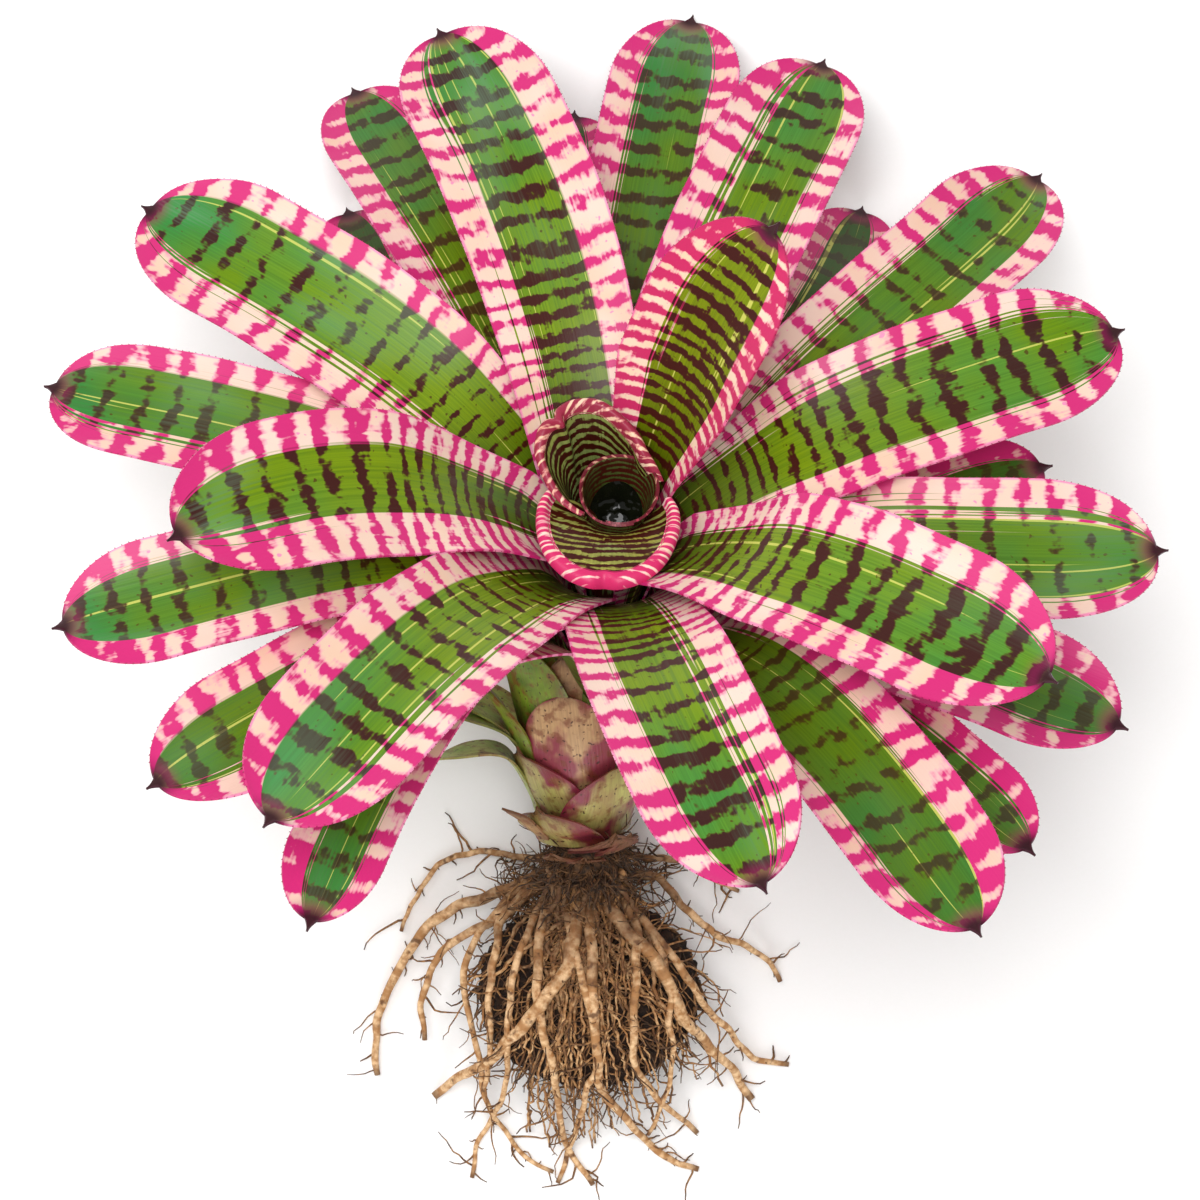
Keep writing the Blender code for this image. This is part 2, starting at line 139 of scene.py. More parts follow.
def streaks(node, place, stretch, detail, roughness=0.5):
    """Noise in a stretched space, so that its marks run one way. The stretch is per metre."""
    stretched = node("VectorMath", (place, stretch), operation="MULTIPLY")
    return node("TexNoise", (stretched, 1.0, detail, roughness))


def patches(node, place, scale, detail, low, high, most=1.0):
    """Soft spots of noise: none where it is under the low value, and the most over the high one."""
    spots = node("TexNoise", (place, scale, detail))
    return node("MapRange", (spots, low, high, 0.0, most))


# %% Floor and lights
def add_floor():
    """A wide sheet of paper, faintly mottled, just under the plant."""
    bpy.ops.mesh.primitive_plane_add(size=8.0, location=(0.0, 0.0, -0.0005))
    floor = bpy.context.object
    floor.name = "floor"
    bpy.ops.object.transform_apply(location=True, rotation=False, scale=False)
    made, node, shader = new_material("matte white paper")
    shader.inputs["Specular IOR Level"].default_value = 0.1
    grain = node("TexNoise", (node("TexCoord").node.outputs["Object"], 900.0))
    white = node("Mix", (grain, "#FBFBFA", "#FEFEFE"), data_type="RGBA")
    finish_paint(node, shader, white, 0.9)
    floor.data.materials.append(made)
    bpy.ops.object.select_all(action="DESELECT")


LIT_PLACE = Vector((0.0, 0.02, 0.1))


def add_light(name, place, size, power):
    bpy.ops.object.light_add(type="AREA", location=place)
    light = bpy.context.object
    light.name = name
    light.data.size = size
    light.data.energy = power
    light.rotation_euler = (LIT_PLACE - Vector(place)).to_track_quat("-Z", "Y").to_euler()
    light.select_set(False)


def set_sky(strength):
    world = bpy.data.worlds.new("white studio")
    world.use_nodes = True
    background = world.node_tree.nodes["Background"]
    background.inputs["Color"].default_value = (1.0, 1.0, 1.0, 1.0)
    background.inputs["Strength"].default_value = strength
    bpy.context.scene.world = world


add_floor()
add_light("top_softbox", (-0.25, 0.35, 2.5), 1.3, 42.0)
add_light("side_softbox", (-1.3, 0.9, 1.5), 0.9, 9.0)
add_light("front_softbox", (0.1, -1.8, 1.1), 1.1, 12.0)
set_sky(0.55)
bpy.context.scene.view_settings.view_transform = "Standard"

# %% [markdown]
# ## The shape of a leaf
# Seen from the side, a leaf climbs the stem, leaves the tank, and arches out to its tip: two
# cubic curves. Across, it clasps the stem at its foot and opens to a shallow channel. We add a
# flat grid, as a sheet of card, and bend its points along these curves. A grid is quick to bend
# evenly, and the two numbers of each grid point later tell the paint where it is on the leaf.

# %% Measures shared with the solids, in millimetres
LEAN = math.radians(40.0)
MOUTH = Vector((2.8, 39.6, 142.0))
STEM_ROUTE = ((-55.0, 3.6), (-60.0, 5.2), (-66.0, 7.0), (-90.0, 8.6), (-118.0, 10.2), (-128.0, 10.8))
FIRST_NODE_HEIGHT = -64.0
NODE_PITCH = 2.6
RING_RADIUS = 30.0
BLADE_RADIUS = 80.0
BLADE_ROLL = math.radians(24.0)
ROLL_LOST_PER_LEAF = 0.036
CHANNEL_DEPTH = 0.17
SPIKE_LENGTH = 4.0
SPIKE_WIDTH = 2.0
LEAF_THICKNESS = 0.9
BAND_WIDTH = 9.0
BODY_SHARE = 0.62
SPIKE_SHARE = 0.05
print("the channel of a leaf 56 mm wide is", round(CHANNEL_DEPTH * 56.0 / 2, 1), "mm deep")


# %% Curves
def smoothstep(x):
    x = np.clip(x, 0.0, 1.0)
    return x * x * (3.0 - 2.0 * x)


def lengths_along(points):
    """The length of a line up to each of its points."""
    return np.concatenate(([0.0], np.cumsum(np.linalg.norm(np.diff(points, axis=0), axis=1))))


def cubic(start, start_angle, end, end_angle, reach, samples=160):
    """Points on a cubic curve that leaves and arrives at the given angles, in degrees."""
    start, end = np.array(start), np.array(end)
    angles = np.radians((start_angle, end_angle))
    handles = reach * np.linalg.norm(end - start) * np.stack((np.cos(angles), np.sin(angles)), axis=1)
    first, last = start + handles[0], end - handles[1]
    t = np.linspace(0.0, 1.0, samples)[:, None]
    return (1 - t) ** 3 * start + 3 * (1 - t) ** 2 * t * first + 3 * (1 - t) * t**2 * last + t**3 * end


def midrib(base, base_angle, leaving, leaving_angle, tip, tip_angle):
    """The midrib in its own upright plane, as radius and height, and the length up to each point."""
    sheath = cubic(base, base_angle, leaving, leaving_angle, 0.36)
    blade = cubic(leaving, leaving_angle, tip, tip_angle, 0.38)
    points = np.vstack((sheath, blade[1:]))
    return points, lengths_along(points)


def half_width(along, length, widest):
    """Half the leaf's width: a neck, a broad middle, a round end and a short spike."""
    end = length - SPIKE_LENGTH - along
    swell = 0.70 + 0.30 * smoothstep(along / length / 0.66)
    taper = np.sqrt(np.clip(1.0 - np.clip(1.0 - end / (1.5 * widest), 0.0, 1.0) ** 2, 0.0, 1.0))
    spike = 0.25 + (SPIKE_WIDTH - 0.25) * np.clip(1.0 + end / SPIKE_LENGTH, 0.0, 1.0) ** 1.8
    return np.where(end < 0.0, spike, np.maximum(SPIKE_WIDTH, widest * swell * taper))


def rows_along(share, length, widest):
    """Distances along the leaf for even shares, closer together round its end."""
    cap = min(1.5 * widest, 0.6 * length)
    body = length - SPIKE_LENGTH - cap
    cap_share = 1.0 - BODY_SHARE - SPIKE_SHARE
    round_end = body + cap * np.sin(np.pi / 2 * np.clip((share - BODY_SHARE) / cap_share, 0.0, 1.0))
    spike = SPIKE_LENGTH * np.clip((share - 1.0 + SPIKE_SHARE) / SPIKE_SHARE, 0.0, 1.0)
    return np.where(share < BODY_SHARE, body * share / BODY_SHARE, round_end + spike)


def stem_radius(height):
    route = STEM_ROUTE[::-1]
    return float(np.interp(height, [h for h, _ in route], [r for _, r in route]))


def node_base(order):
    """Where a leaf's foot sits on the stem: one pitch lower for each older leaf."""
    height = FIRST_NODE_HEIGHT - order * NODE_PITCH
    return stem_radius(height - 1.0) + 0.8, height


# %% Bending a sheet to a leaf
def at_lengths(along, lengths, line):
    """The line's values at some distances along it, one column for each of its own."""
    return np.stack([np.interp(along, lengths, column) for column in line.T], axis=1)


def turned(x, y, angle):
    """Two directions, or two coordinates, turned about the third by an angle."""
    return x * np.cos(angle) + y * np.sin(angle), y * np.cos(angle) - x * np.sin(angle)


def bend_leaf(sheet, curve, widest, clasp, sway=0.0, sway_from=0.0, roll=0.0, ripple=0.0, seed=0.0):
    """Where each grid point of a sheet goes, and its place on the blade, all in millimetres.

    The sheet's X is the share across the leaf, and its Y the share along it, both from -1 to 1.
    """
    points, lengths = curve
    radii, heights = points[:, 0], points[:, 1]
    steps = np.gradient(points, axis=0)
    slopes = np.arctan2(steps[:, 1], steps[:, 0])
    turns = sway * np.clip((radii - sway_from) / max(radii[-1] - sway_from, 1.0), 0.0, 1.0)
    spine = np.stack((radii * np.cos(turns), radii * np.sin(turns), heights), axis=1)
    tangents = np.gradient(spine, axis=0)
    across = sheet[:, 0]
    along = rows_along((sheet[:, 1] + 1.0) / 2.0, lengths[-1], widest)
    place, tangent = (at_lengths(along, lengths, line) for line in (spine, tangents))
    radius, height, slope, turn = (np.interp(along, lengths, v) for v in (radii, heights, slopes, turns))
    width = np.minimum(half_width(along, lengths[-1], widest), clasp * radius)
    tangent /= np.linalg.norm(tangent, axis=1)[:, None]
    back = -np.sin(slope)
    upward = np.stack((back * np.cos(turn), back * np.sin(turn), np.cos(slope)), axis=1)
    side = np.cross(upward, tangent)
    side /= np.linalg.norm(side, axis=1)[:, None]
    normal = np.cross(tangent, side)
    flat = smoothstep((radius - RING_RADIUS) / (BLADE_RADIUS - RING_RADIUS))
    tilt = (roll * flat)[:, None]
    side, normal = turned(side, normal, tilt)
    offset = across * width
    angle = turn + offset / radius
    ring = np.stack((radius * np.cos(angle), radius * np.sin(angle), height), axis=1)
    lift = CHANNEL_DEPTH * width * across**2
    waves = np.sin(along / 7.0 + seed * 5.0 + 1.6 * np.sign(across))
    lift += ripple * np.abs(across) ** 3 * waves * np.minimum(width / 20.0, 1.0)
    blade = place + side * offset[:, None] + normal * lift[:, None]
    bent = ring + (blade - ring) * flat[:, None]
    return bent, offset, along, lengths[-1] - along


def into_rosette(points, azimuth):
    """Turns points about the rosette's axis, leans them back with it, and moves them to its mouth."""
    x, y = turned(points[:, 0], points[:, 1], -math.radians(azimuth))
    y, z = turned(y, points[:, 2], LEAN)
    return np.stack((x, y, z), axis=1) + np.array(MOUTH)


print("a leaf's foot is", round(node_base(5)[0], 1), "mm from the axis at the sixth node")

# %% [markdown]
# ## The paint of a leaf
# Fresh bromeliad leaf: a waxy skin over green or cream tissue, with one red pigment laid on it in
# cross bands. Over green tissue the pigment reads as maroon, and over cream tissue as magenta, so
# one set of bands paints both. The border between green and cream wanders with a noise that
# changes only across the leaf, and that gives the fine pinstripes near it.


# %% Leaf paint
def leaf_paint(name, greens, maroons, reds, creams, level, gloss):
    """Waxy leaf skin.

    greens: near the cup, further out, in clouds, in veins. maroons, reds: pigment where it is
    thin and thick, on green and on cream. level: how much it takes to show on green and on cream.
    """
    made, node, shader = new_material(name)
    blade, across, along, from_tip = stored(node, "blade")
    _, offset, bands_along, seed = stored(node, "pattern")
    _, border_low, border_high, fade_and_shade = stored(node, "look")
    _, lines_low, lines_high, bloom_and_sheen = stored(node, "marks")
    _, more_on_green, more_on_cream, slant = stored(node, "pigment")

    # Green or cream: the border is at another share of the half width on each side, and a noise
    # that runs only across the leaf moves it, which draws the pinstripes.
    out = node("Math", (across,), operation="ABSOLUTE")
    side = node("Math", (across, 0.0), operation="GREATER_THAN")
    border = node("Mix", (side, border_low, border_high), data_type="FLOAT")
    stripes = node("Mix", (side, lines_low, lines_high), data_type="FLOAT")
    line_place = node("CombineXYZ", (across, bands_along, seed))
    line_place = node("VectorMath", (line_place, (30.0, 9.0, 9.0)), operation="MULTIPLY")
    lines = node("TexNoise", (line_place, 1.0, 0.0))
    wander = node("Math", (lines, 0.5), operation="SUBTRACT")
    past = node("Math", (out, border), operation="SUBTRACT")
    past = node("Math", (wander, stripes, past), operation="MULTIPLY_ADD")
    cream = node("MapRange", (past, -0.014, 0.014))

    # On a rolled rim the bands run another way than on the wall below it.
    bands_along = node("Math", (cream, slant, bands_along), operation="MULTIPLY_ADD")
    pattern = node("CombineXYZ", (offset, bands_along, seed))

    # Cross bands: a wave along the leaf, broken by noise that is stretched across it. A comb of
    # fine noise shifts the bands a little from vein to vein.
    slow = streaks(node, pattern, (16.0, 55.0, 9.0), 1.0)
    phase = node("Math", (slow, 6.0), operation="MULTIPLY")
    turn = node("Math", (bands_along, 2 * math.pi / (BAND_WIDTH * MM), phase), operation="MULTIPLY_ADD")
    wave = node("Math", (turn,), operation="SINE")
    comb = streaks(node, pattern, (1000.0, 120.0, 9.0), 0.0)
    veins = streaks(node, pattern, (1400.0, 8.0, 9.0), 1.0)
    streak = node("Math", (veins, 0.5), operation="SUBTRACT")
    feather = node("MapRange", (cream, 0.0, 1.0, 0.12, 0.18))
    cloud = patches(node, pattern, 30.0, 2.0, 0.36, 0.64)
    more = node("Mix", (cream, more_on_green, more_on_cream), data_type="FLOAT")

    # More pigment near the tip and along the very edge, and on cream more than on green.
    near_tip = node("MapRange", (from_tip, 0.050, 0.010, 0.0, 0.20))
    rim = node("MapRange", (out, 0.80, 1.0, 0.0, 0.06))
    grains = node("TexNoise", (pattern, 1100.0, 1.0))
    parts = ((wave, 0.19), (comb, 0.20), (streak, feather), (cloud, 0.07))
    parts += ((more, 1.0), (near_tip, cream), (rim, 1.0), (grains, 0.07))
    amount = streaks(node, pattern, (190.0, 250.0, 9.0), 1.6, 0.55)
    for part, weight in parts:
        amount = node("Math", (part, weight, amount), operation="MULTIPLY_ADD")
    needed = node("Mix", (cream, level[0], level[1]), data_type="FLOAT")
    over = node("Math", (amount, needed), operation="SUBTRACT")
    soft = node("MapRange", (cream, 0.0, 1.0, 11.0, 5.5))
    band = node("Math", (over, soft, 0.4), operation="MULTIPLY_ADD", use_clamp=True)

    # Fine dots of pigment, and a line of it along the very edge.
    dots = patches(node, pattern, 420.0, 1.0, 0.70, 0.74, 0.9)
    edge = node("MapRange", (out, 0.965, 0.985, 0.0, 0.9))
    for spots in (dots, edge):
        band = node("Math", (band, spots), operation="MAXIMUM")
    strength = node("MapRange", (fade_and_shade, 0.0, 1.0, 1.0, 0.62))
    strength = node("Mix", (cream, strength, 0.96), data_type="FLOAT")
    band = node("Math", (band, strength), operation="MULTIPLY")

    # The green: yellower near the cup, with clouds, fine parallel veins and a few pale threads. Painted
    # shade darkens it towards its foot deep in the cup, and on old low leaves the fade darkens it, partly
    # as painted shade.
    outwards = node("MapRange", (along, 0.11, 0.23))
    far = node("MapRange", (outwards, 0.0, 1.0, 0.15))
    cool = node("Math", (cloud, far), operation="MULTIPLY")
    shade = node("MapRange", (veins, 0.35, 0.7, 0.0, 0.4))
    # Painted shade: the green darkens towards the leaf's foot deep in the cup, to #2C3C04.
    foot = node("MapRange", (along, 0.105, 0.060, 0.0, 0.7))
    thread = patches(node, line_place, 0.62, 0.0, 0.750, 0.764, 0.65)
    layers = ((outwards, greens[1]), (cool, greens[2]), (shade, greens[3]))
    layers += ((foot, "#2C3C04"), (fade_and_shade, "#2E4A0C"), (thread, "#D9D66A"))
    green = greens[0]
    for share, tint in layers:
        green = node("Mix", (share, green, tint), data_type="RGBA")
    # Old leaves: the cream turns pinker and the green duller and darker, to #2E4A0C; on the low leaves this
    # is partly painted shade.
    cream_fade_and_shade = node("Math", (fade_and_shade, 0.6), operation="MULTIPLY")
    white = node("Mix", (cloud, creams[0], creams[1]), data_type="RGBA")
    white = node("Mix", (cream_fade_and_shade, white, "#E29A94"), data_type="RGBA")

    # The pigment over each tissue: pink where it is thin on cream, and deep where it is thick.
    thick = node("MapRange", (over, -0.02, 0.10))
    red = node("Mix", (thick, *reds), data_type="RGBA")
    deep = node("Mix", (outwards, "#3E120A", maroons[1]), data_type="RGBA")
    brown = node("Mix", (thick, maroons[0], deep), data_type="RGBA")
    skin = node("Mix", (cream, green, white), data_type="RGBA")
    pigment = node("Mix", (cream, brown, red), data_type="RGBA")

    # A pale blue-green waxy bloom, which is also a painted sheen, lies on the green in wide patches,
    # streaked by the veins.
    wax_and_sheen_place = node("VectorMath", (blade, (1.1, 17.0, 0.0)), operation="MULTIPLY")
    wax_and_sheen_seed = node("CombineXYZ", (0.0, 0.0, seed))
    wax_and_sheen_place = node("VectorMath", (wax_and_sheen_place, wax_and_sheen_seed), operation="ADD")
    wax_and_sheen = node("TexNoise", (wax_and_sheen_place, 1.0, 1.0))
    wax_and_sheen = node("Math", (streak, 0.35, wax_and_sheen), operation="MULTIPLY_ADD")
    wax_and_sheen = node("MapRange", (wax_and_sheen, 0.42, 0.76, 0.0, 0.5), interpolation_type="SMOOTHSTEP")
    bare = node("MapRange", (cream, 0.0, 1.0, 1.0, 0.0))
    for share in (bloom_and_sheen, bare, far):
        wax_and_sheen = node("Math", (wax_and_sheen, share), operation="MULTIPLY")
    crimson = node("MapRange", (from_tip, 0.012, 0.005, 0.0, 0.6), interpolation_type="SMOOTHSTEP")
    dark = node("MapRange", (from_tip, 0.0078, 0.0028, 0.0, 0.95), interpolation_type="SMOOTHSTEP")
    # 8CBC98 is the waxy bloom and painted sheen laid over the skin.
    for share, tint in ((band, pigment), (wax_and_sheen, "#8CBC98"), (crimson, "#8C0C50"), (dark, "#2E1018")):
        skin = node("Mix", (share, skin, tint), data_type="RGBA")

    # A soft waxy gloss, with the veins as low ridges.
    shine = node("MapRange", (cloud, 0.0, 1.0, gloss, gloss + 0.1))
    finish_paint(node, shader, skin, shine, veins, 0.3, 0.0002)
    shader.inputs["IOR"].default_value = 1.45
    shader.inputs["Specular IOR Level"].default_value = 0.27
    return made


LEAF_SKIN = leaf_paint(
    "waxy leaf skin",
    ("#789000", "#628806", "#34863A", "#2C5606"),
    ("#4C3C06", "#361814"),
    ("#F084B4", "#CA006E"),
    ("#EBCFC0", "#E6C1A8"),
    (0.720, 0.681),
    0.30,
)
YOUNG_SKIN = leaf_paint(
    "waxy young leaf skin",
    ("#7E8C00", "#748A04", "#667C04", "#465406"),
    ("#50300A", "#3A0A06"),
    ("#EC5C9C", "#C2005A"),
    ("#F0D4BE", "#EAC6A4"),
    (0.655, 0.655),
    0.34,
)
CUP_SKIN = leaf_paint(
    "waxy cup leaf skin",
    ("#6E8458", "#8E9840", "#8A8A30", "#46501E"),
    ("#40260E", "#2A0C06"),
    ("#CC1C64", "#92003A"),
    ("#F0D0B4", "#E8C098"),
    (0.605, 0.515),
    0.26,
)
# The tube's skin is the leaf paint in darker colours: painted shade deep in the cup.
SHADED_TUBE_SKIN = leaf_paint(
    "waxy inner cup leaf skin in painted shade",
    ("#545C30", "#5E6230", "#4A4A20", "#2E3414"),
    ("#2A180A", "#1E0804"),
    ("#A81448", "#660424"),
    ("#D8A890", "#C08A70"),
    (0.665, 0.535),
    0.26,
)
FRONT_SKIN = leaf_paint(
    "waxy front cup leaf skin",
    ("#6E8458", "#A0A044", "#A89428", "#565C1E"),
    ("#50300E", "#3A0E08"),
    ("#F0529C", "#CC0060"),
    ("#F6DACA", "#EEC8A8"),
    (0.570, 0.535),
    0.26,
)
print("nodes in the leaf paint:", len(LEAF_SKIN.node_tree.nodes))

# %% [markdown]
# ## The leaves of the rosette
# Each row is one leaf, youngest first: the azimuth, reach and rise of its tip, its full width,
# how far it swings sideways, the radius and height where it leaves the tank, and the angles
# there and at the tip. They are the values that the solids use.

# %% Leaf list
LEAVES = (
    ("leaf_01", 38.2, 75.0, 85.0, 57.0, -6.8, 26.0, 2.0, 62.0, 44.0),
    ("leaf_02", 203.2, 161.0, 45.0, 55.0, 15.0, 27.0, -16.0, 44.0, 8.0),
    ("leaf_03", 322.0, 188.5, 34.0, 56.0, 2.4, 28.2, -18.0, 46.0, 2.0),
    ("leaf_04", 107.2, 214.3, 25.0, 55.0, 5.0, 29.4, -18.0, 50.0, -2.0),
    ("leaf_05", 237.1, 206.0, 30.0, 54.0, 2.1, 30.6, -25.0, 46.0, 2.0),
    ("leaf_06", 18.5, 193.7, 15.0, 53.0, 9.0, 31.8, -20.0, 44.0, -4.0),
    ("leaf_07", 144.1, 209.0, 15.0, 55.0, -3.0, 33.0, -22.0, 44.0, -4.0),
    ("leaf_08", 284.9, 199.0, 20.0, 53.0, 7.5, 34.2, -25.0, 44.0, -4.0),
    ("leaf_09", 67.9, 215.6, 14.0, 50.0, 2.9, 35.4, -24.0, 44.0, -4.0),
    ("leaf_10", 196.8, 200.0, -8.0, 46.0, -5.8, 36.6, -26.0, 42.0, -8.0),
    ("leaf_11", 355.5, 197.0, -16.0, 53.0, 14.0, 37.8, -33.0, 38.0, -8.0),
    ("leaf_12", 114.8, 230.0, -9.7, 44.0, -2.8, 39.0, -29.0, 42.0, -8.0),
    ("leaf_13", 240.7, 204.0, -20.0, 34.0, 10.0, 40.2, -31.0, 38.0, -10.0),
    ("leaf_14", 44.6, 226.0, -5.0, 48.0, 12.0, 41.4, -32.0, 42.0, -6.0),
    ("leaf_15", 164.3, 210.0, -10.0, 46.0, -5.8, 42.6, -33.0, 40.0, -8.0),
    ("leaf_16", 303.0, 224.5, -9.0, 48.0, -5.6, 43.8, -43.0, 38.0, -2.0),
    ("leaf_17", 82.0, 232.0, 8.0, 48.0, -3.0, 45.0, -36.0, 44.0, 0.0),
    ("leaf_18", 216.3, 194.5, -24.0, 47.0, -4.0, 46.2, -42.0, 36.0, -8.0),
    ("leaf_19", 334.2, 198.5, -28.0, 46.0, 2.0, 47.4, -47.0, 34.0, -8.0),
    ("leaf_20", 119.5, 200.0, -38.9, 36.0, -14.0, 48.6, -43.0, 34.0, -12.0),
    ("leaf_21", 61.1, 199.3, -38.5, 36.0, 13.0, 49.8, -44.0, 34.0, -12.0),
    ("leaf_22", 317.1, 197.4, -36.0, 34.0, -4.0, 51.0, -52.0, 32.0, -8.0),
    ("leaf_23", 93.5, 202.5, -15.2, 36.0, -6.0, 52.2, -46.0, 36.0, -6.0),
    ("leaf_24", 11.1, 162.0, -24.0, 36.0, 6.0, 54.0, -58.0, 32.0, -6.0),
)

print("leaves:", len(LEAVES), "and the longest reaches", max(leaf[2] for leaf in LEAVES), "mm")

# %% How each leaf is marked
# The cream border on the clockwise and the other side, as a share of the half width; how strong
# the pinstripes are on each; how much more pigment than usual on the green and on the cream; the
# band spacing in millimetres; how faded and dark the leaf is, which on the low leaves is partly
# painted shade; and how much waxy bloom and painted sheen it has.
MARKS = (
    (0.60, 0.54, 0.25, 0.35, 0.00, 0.03, 7.0, 0.0, 0.0),
    (0.56, 0.38, 0.15, 0.95, 0.00, 0.02, 12.8, 0.0, 0.9),
    (0.56, 0.56, 0.35, 0.30, 0.01, 0.00, 13.6, 0.0, 0.15),
    (0.49, 0.58, 0.05, 0.80, 0.03, -0.04, 12.8, 0.0, 0.6),
    (0.54, 0.62, 0.05, 0.70, -0.05, -0.01, 14.0, 0.0, 0.3),
    (0.58, 0.64, 0.35, 0.70, -0.01, 0.00, 12.8, 0.0, 0.1),
    (0.66, 0.50, 0.05, 0.95, -0.08, -0.01, 13.4, 0.0, 0.8),
    (0.49, 0.54, 0.45, 0.70, 0.02, 0.01, 12.0, 0.0, 0.45),
    (0.66, 0.48, 0.40, 0.80, -0.05, 0.02, 13.0, 0.1, 0.4),
    (0.62, 0.54, 0.30, 0.20, -0.06, 0.00, 11.6, 0.15, 0.4),
    (0.72, 0.56, 0.25, 0.95, -0.12, 0.00, 12.4, 0.15, 0.5),
    (0.54, 0.50, 0.30, 0.70, 0.00, 0.05, 12.6, 0.3, 0.0),
    (0.50, 0.52, 0.40, 0.20, -0.04, 0.03, 11.6, 0.3, 0.2),
    (0.56, 0.52, 0.40, 0.60, -0.08, -0.03, 12.4, 0.25, 0.3),
    (0.66, 0.48, 0.25, 0.60, -0.08, 0.04, 13.8, 0.15, 0.4),
    (0.70, 0.54, 0.30, 0.45, -0.06, 0.03, 12.8, 0.4, 0.1),
    (0.58, 0.54, 0.30, 0.50, 0.01, 0.03, 12.0, 0.25, 0.4),
    (0.60, 0.50, 0.10, 0.50, -0.07, -0.02, 11.8, 0.35, 0.2),
    (0.56, 0.52, 0.30, 0.30, -0.04, 0.04, 12.4, 0.35, 0.2),
    (0.45, 0.45, 0.30, 0.30, -0.02, 0.08, 11.6, 0.9, 0.0),
    (0.45, 0.45, 0.30, 0.30, -0.02, 0.04, 11.6, 0.9, 0.0),
    (0.52, 0.52, 0.30, 0.30, -0.02, 0.08, 12.4, 0.4, 0.1),
    (0.40, 0.40, 0.30, 0.30, 0.00, 0.06, 11.6, 0.9, 0.0),
    (0.45, 0.45, 0.30, 0.30, -0.02, 0.06, 11.6, 0.7, 0.0),
)
print("marks for", len(MARKS), "leaves")


# %% Making one leaf
LEAF_COLUMNS = 24
LEAF_ROWS = 100
CREASE = math.radians(50.0)
EDGES = []


def write_attribute(mesh, name, values):
    """Stores three numbers at each point, for the paint to read."""
    store = mesh.attributes.new(name, "FLOAT_VECTOR", "POINT")
    store.data.foreach_set("vector", np.asarray(values, np.float32).ravel())


def columns_of(count, *values):
    """Rows of numbers, from columns that are arrays or one number throughout."""
    return np.stack([np.broadcast_to(value, count) for value in values], axis=1)


def leaf_sheet(name, columns, rows):
    """A flat grid from -1 to 1 each way."""
    bpy.ops.object.select_all(action="DESELECT")
    bpy.ops.mesh.primitive_grid_add(x_subdivisions=columns, y_subdivisions=rows, size=2.0)
    piece = bpy.context.object
    piece.name = piece.data.name = name
    sheet = np.empty(len(piece.data.vertices) * 3)
    piece.data.vertices.foreach_get("co", sheet)
    return piece, sheet.reshape(-1, 3)


def finish_leaf(piece, points, paint, thickness, **places):
    """Puts the bent points in the mesh, stores its places, and gives the sheet its thickness."""
    mesh = piece.data
    mesh.vertices.foreach_set("co", (points * MM).ravel())
    mesh.update()
    for name, values in places.items():
        write_attribute(mesh, name, np.broadcast_to(values, (len(points), 3)))
    mesh.materials.append(paint)
    wall = piece.modifiers.new("thickness", "SOLIDIFY")
    wall.thickness = thickness * MM
    wall.offset = 0.0
    bpy.ops.object.modifier_apply(modifier="thickness")
    bpy.ops.object.shade_smooth_by_angle(angle=CREASE)
    piece.select_set(False)


def band_place(along, spacing):
    """Distance along the leaf, stretched so that a paint's bands come out at their spacing."""
    fine = np.linspace(0.0, 400.0, 801)
    near = max(5.0, 0.45 * spacing)
    local = near + (spacing - near) * smoothstep((fine - 85.0) / 75.0)
    stretched = np.cumsum(BAND_WIDTH / local[:-1] * np.diff(fine))
    return np.interp(along, fine, np.concatenate(([0.0], stretched)))


def add_leaf(order, entry):
    name, azimuth, reach, rise, width, sway, exit_radius, exit_height, leaving_angle, tip_angle = entry
    low, high, lines_low, lines_high, on_green, on_cream, spacing, fade_and_shade, bloom_and_sheen = MARKS[order]
    leaving = (exit_radius, exit_height)
    curve = midrib(node_base(order), 74.0, leaving, leaving_angle, (reach, rise), tip_angle)
    roll = BLADE_ROLL * math.cos(math.radians(azimuth)) * (1.0 - ROLL_LOST_PER_LEAF * order)
    piece, sheet = leaf_sheet("banded_" + name, LEAF_COLUMNS, LEAF_ROWS)
    clasp, swing = math.radians(42.0), math.radians(sway)
    bent, offset, along, to_tip = bend_leaf(
        sheet, curve, width / 2, clasp, swing, exit_radius, roll, ripple=0.5, seed=order * 0.37
    )
    points = into_rosette(bent, azimuth - sway)
    for way in (-1.0, 1.0):
        edge = np.abs(sheet[:, 0] - way) < 1e-5
        inner = np.abs(sheet[:, 0] - way * (1.0 - 2.0 / LEAF_COLUMNS)) < 1e-5
        EDGES.append((points[edge], points[inner]))
    from_tip = np.hypot(to_tip - SPIKE_LENGTH * 0.5, offset)
    bands = band_place(along, spacing)
    finish_leaf(
        piece,
        points,
        YOUNG_SKIN if order == 0 else LEAF_SKIN,
        LEAF_THICKNESS,
        blade=columns_of(len(along), sheet[:, 0], along * MM, from_tip * MM),
        pattern=columns_of(len(along), offset * MM, bands * MM, 1.7 * (order + 1)),
        look=(low, high, fade_and_shade),
        marks=(lines_low, lines_high, bloom_and_sheen),
        pigment=(on_green, on_cream, 0.0),
    )
    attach(piece, "root")
    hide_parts(name)
    return piece


leaves = [add_leaf(order, entry) for order, entry in enumerate(LEAVES)]
print("leaf faces:", sum(len(leaf.data.polygons) for leaf in leaves))


# %% The fine spines along the leaf edges
SPINE_SPACING = 2.6
SPINE_LENGTH = 0.55
BARE_SHARE = 0.38
BARE_TIP = 9.0


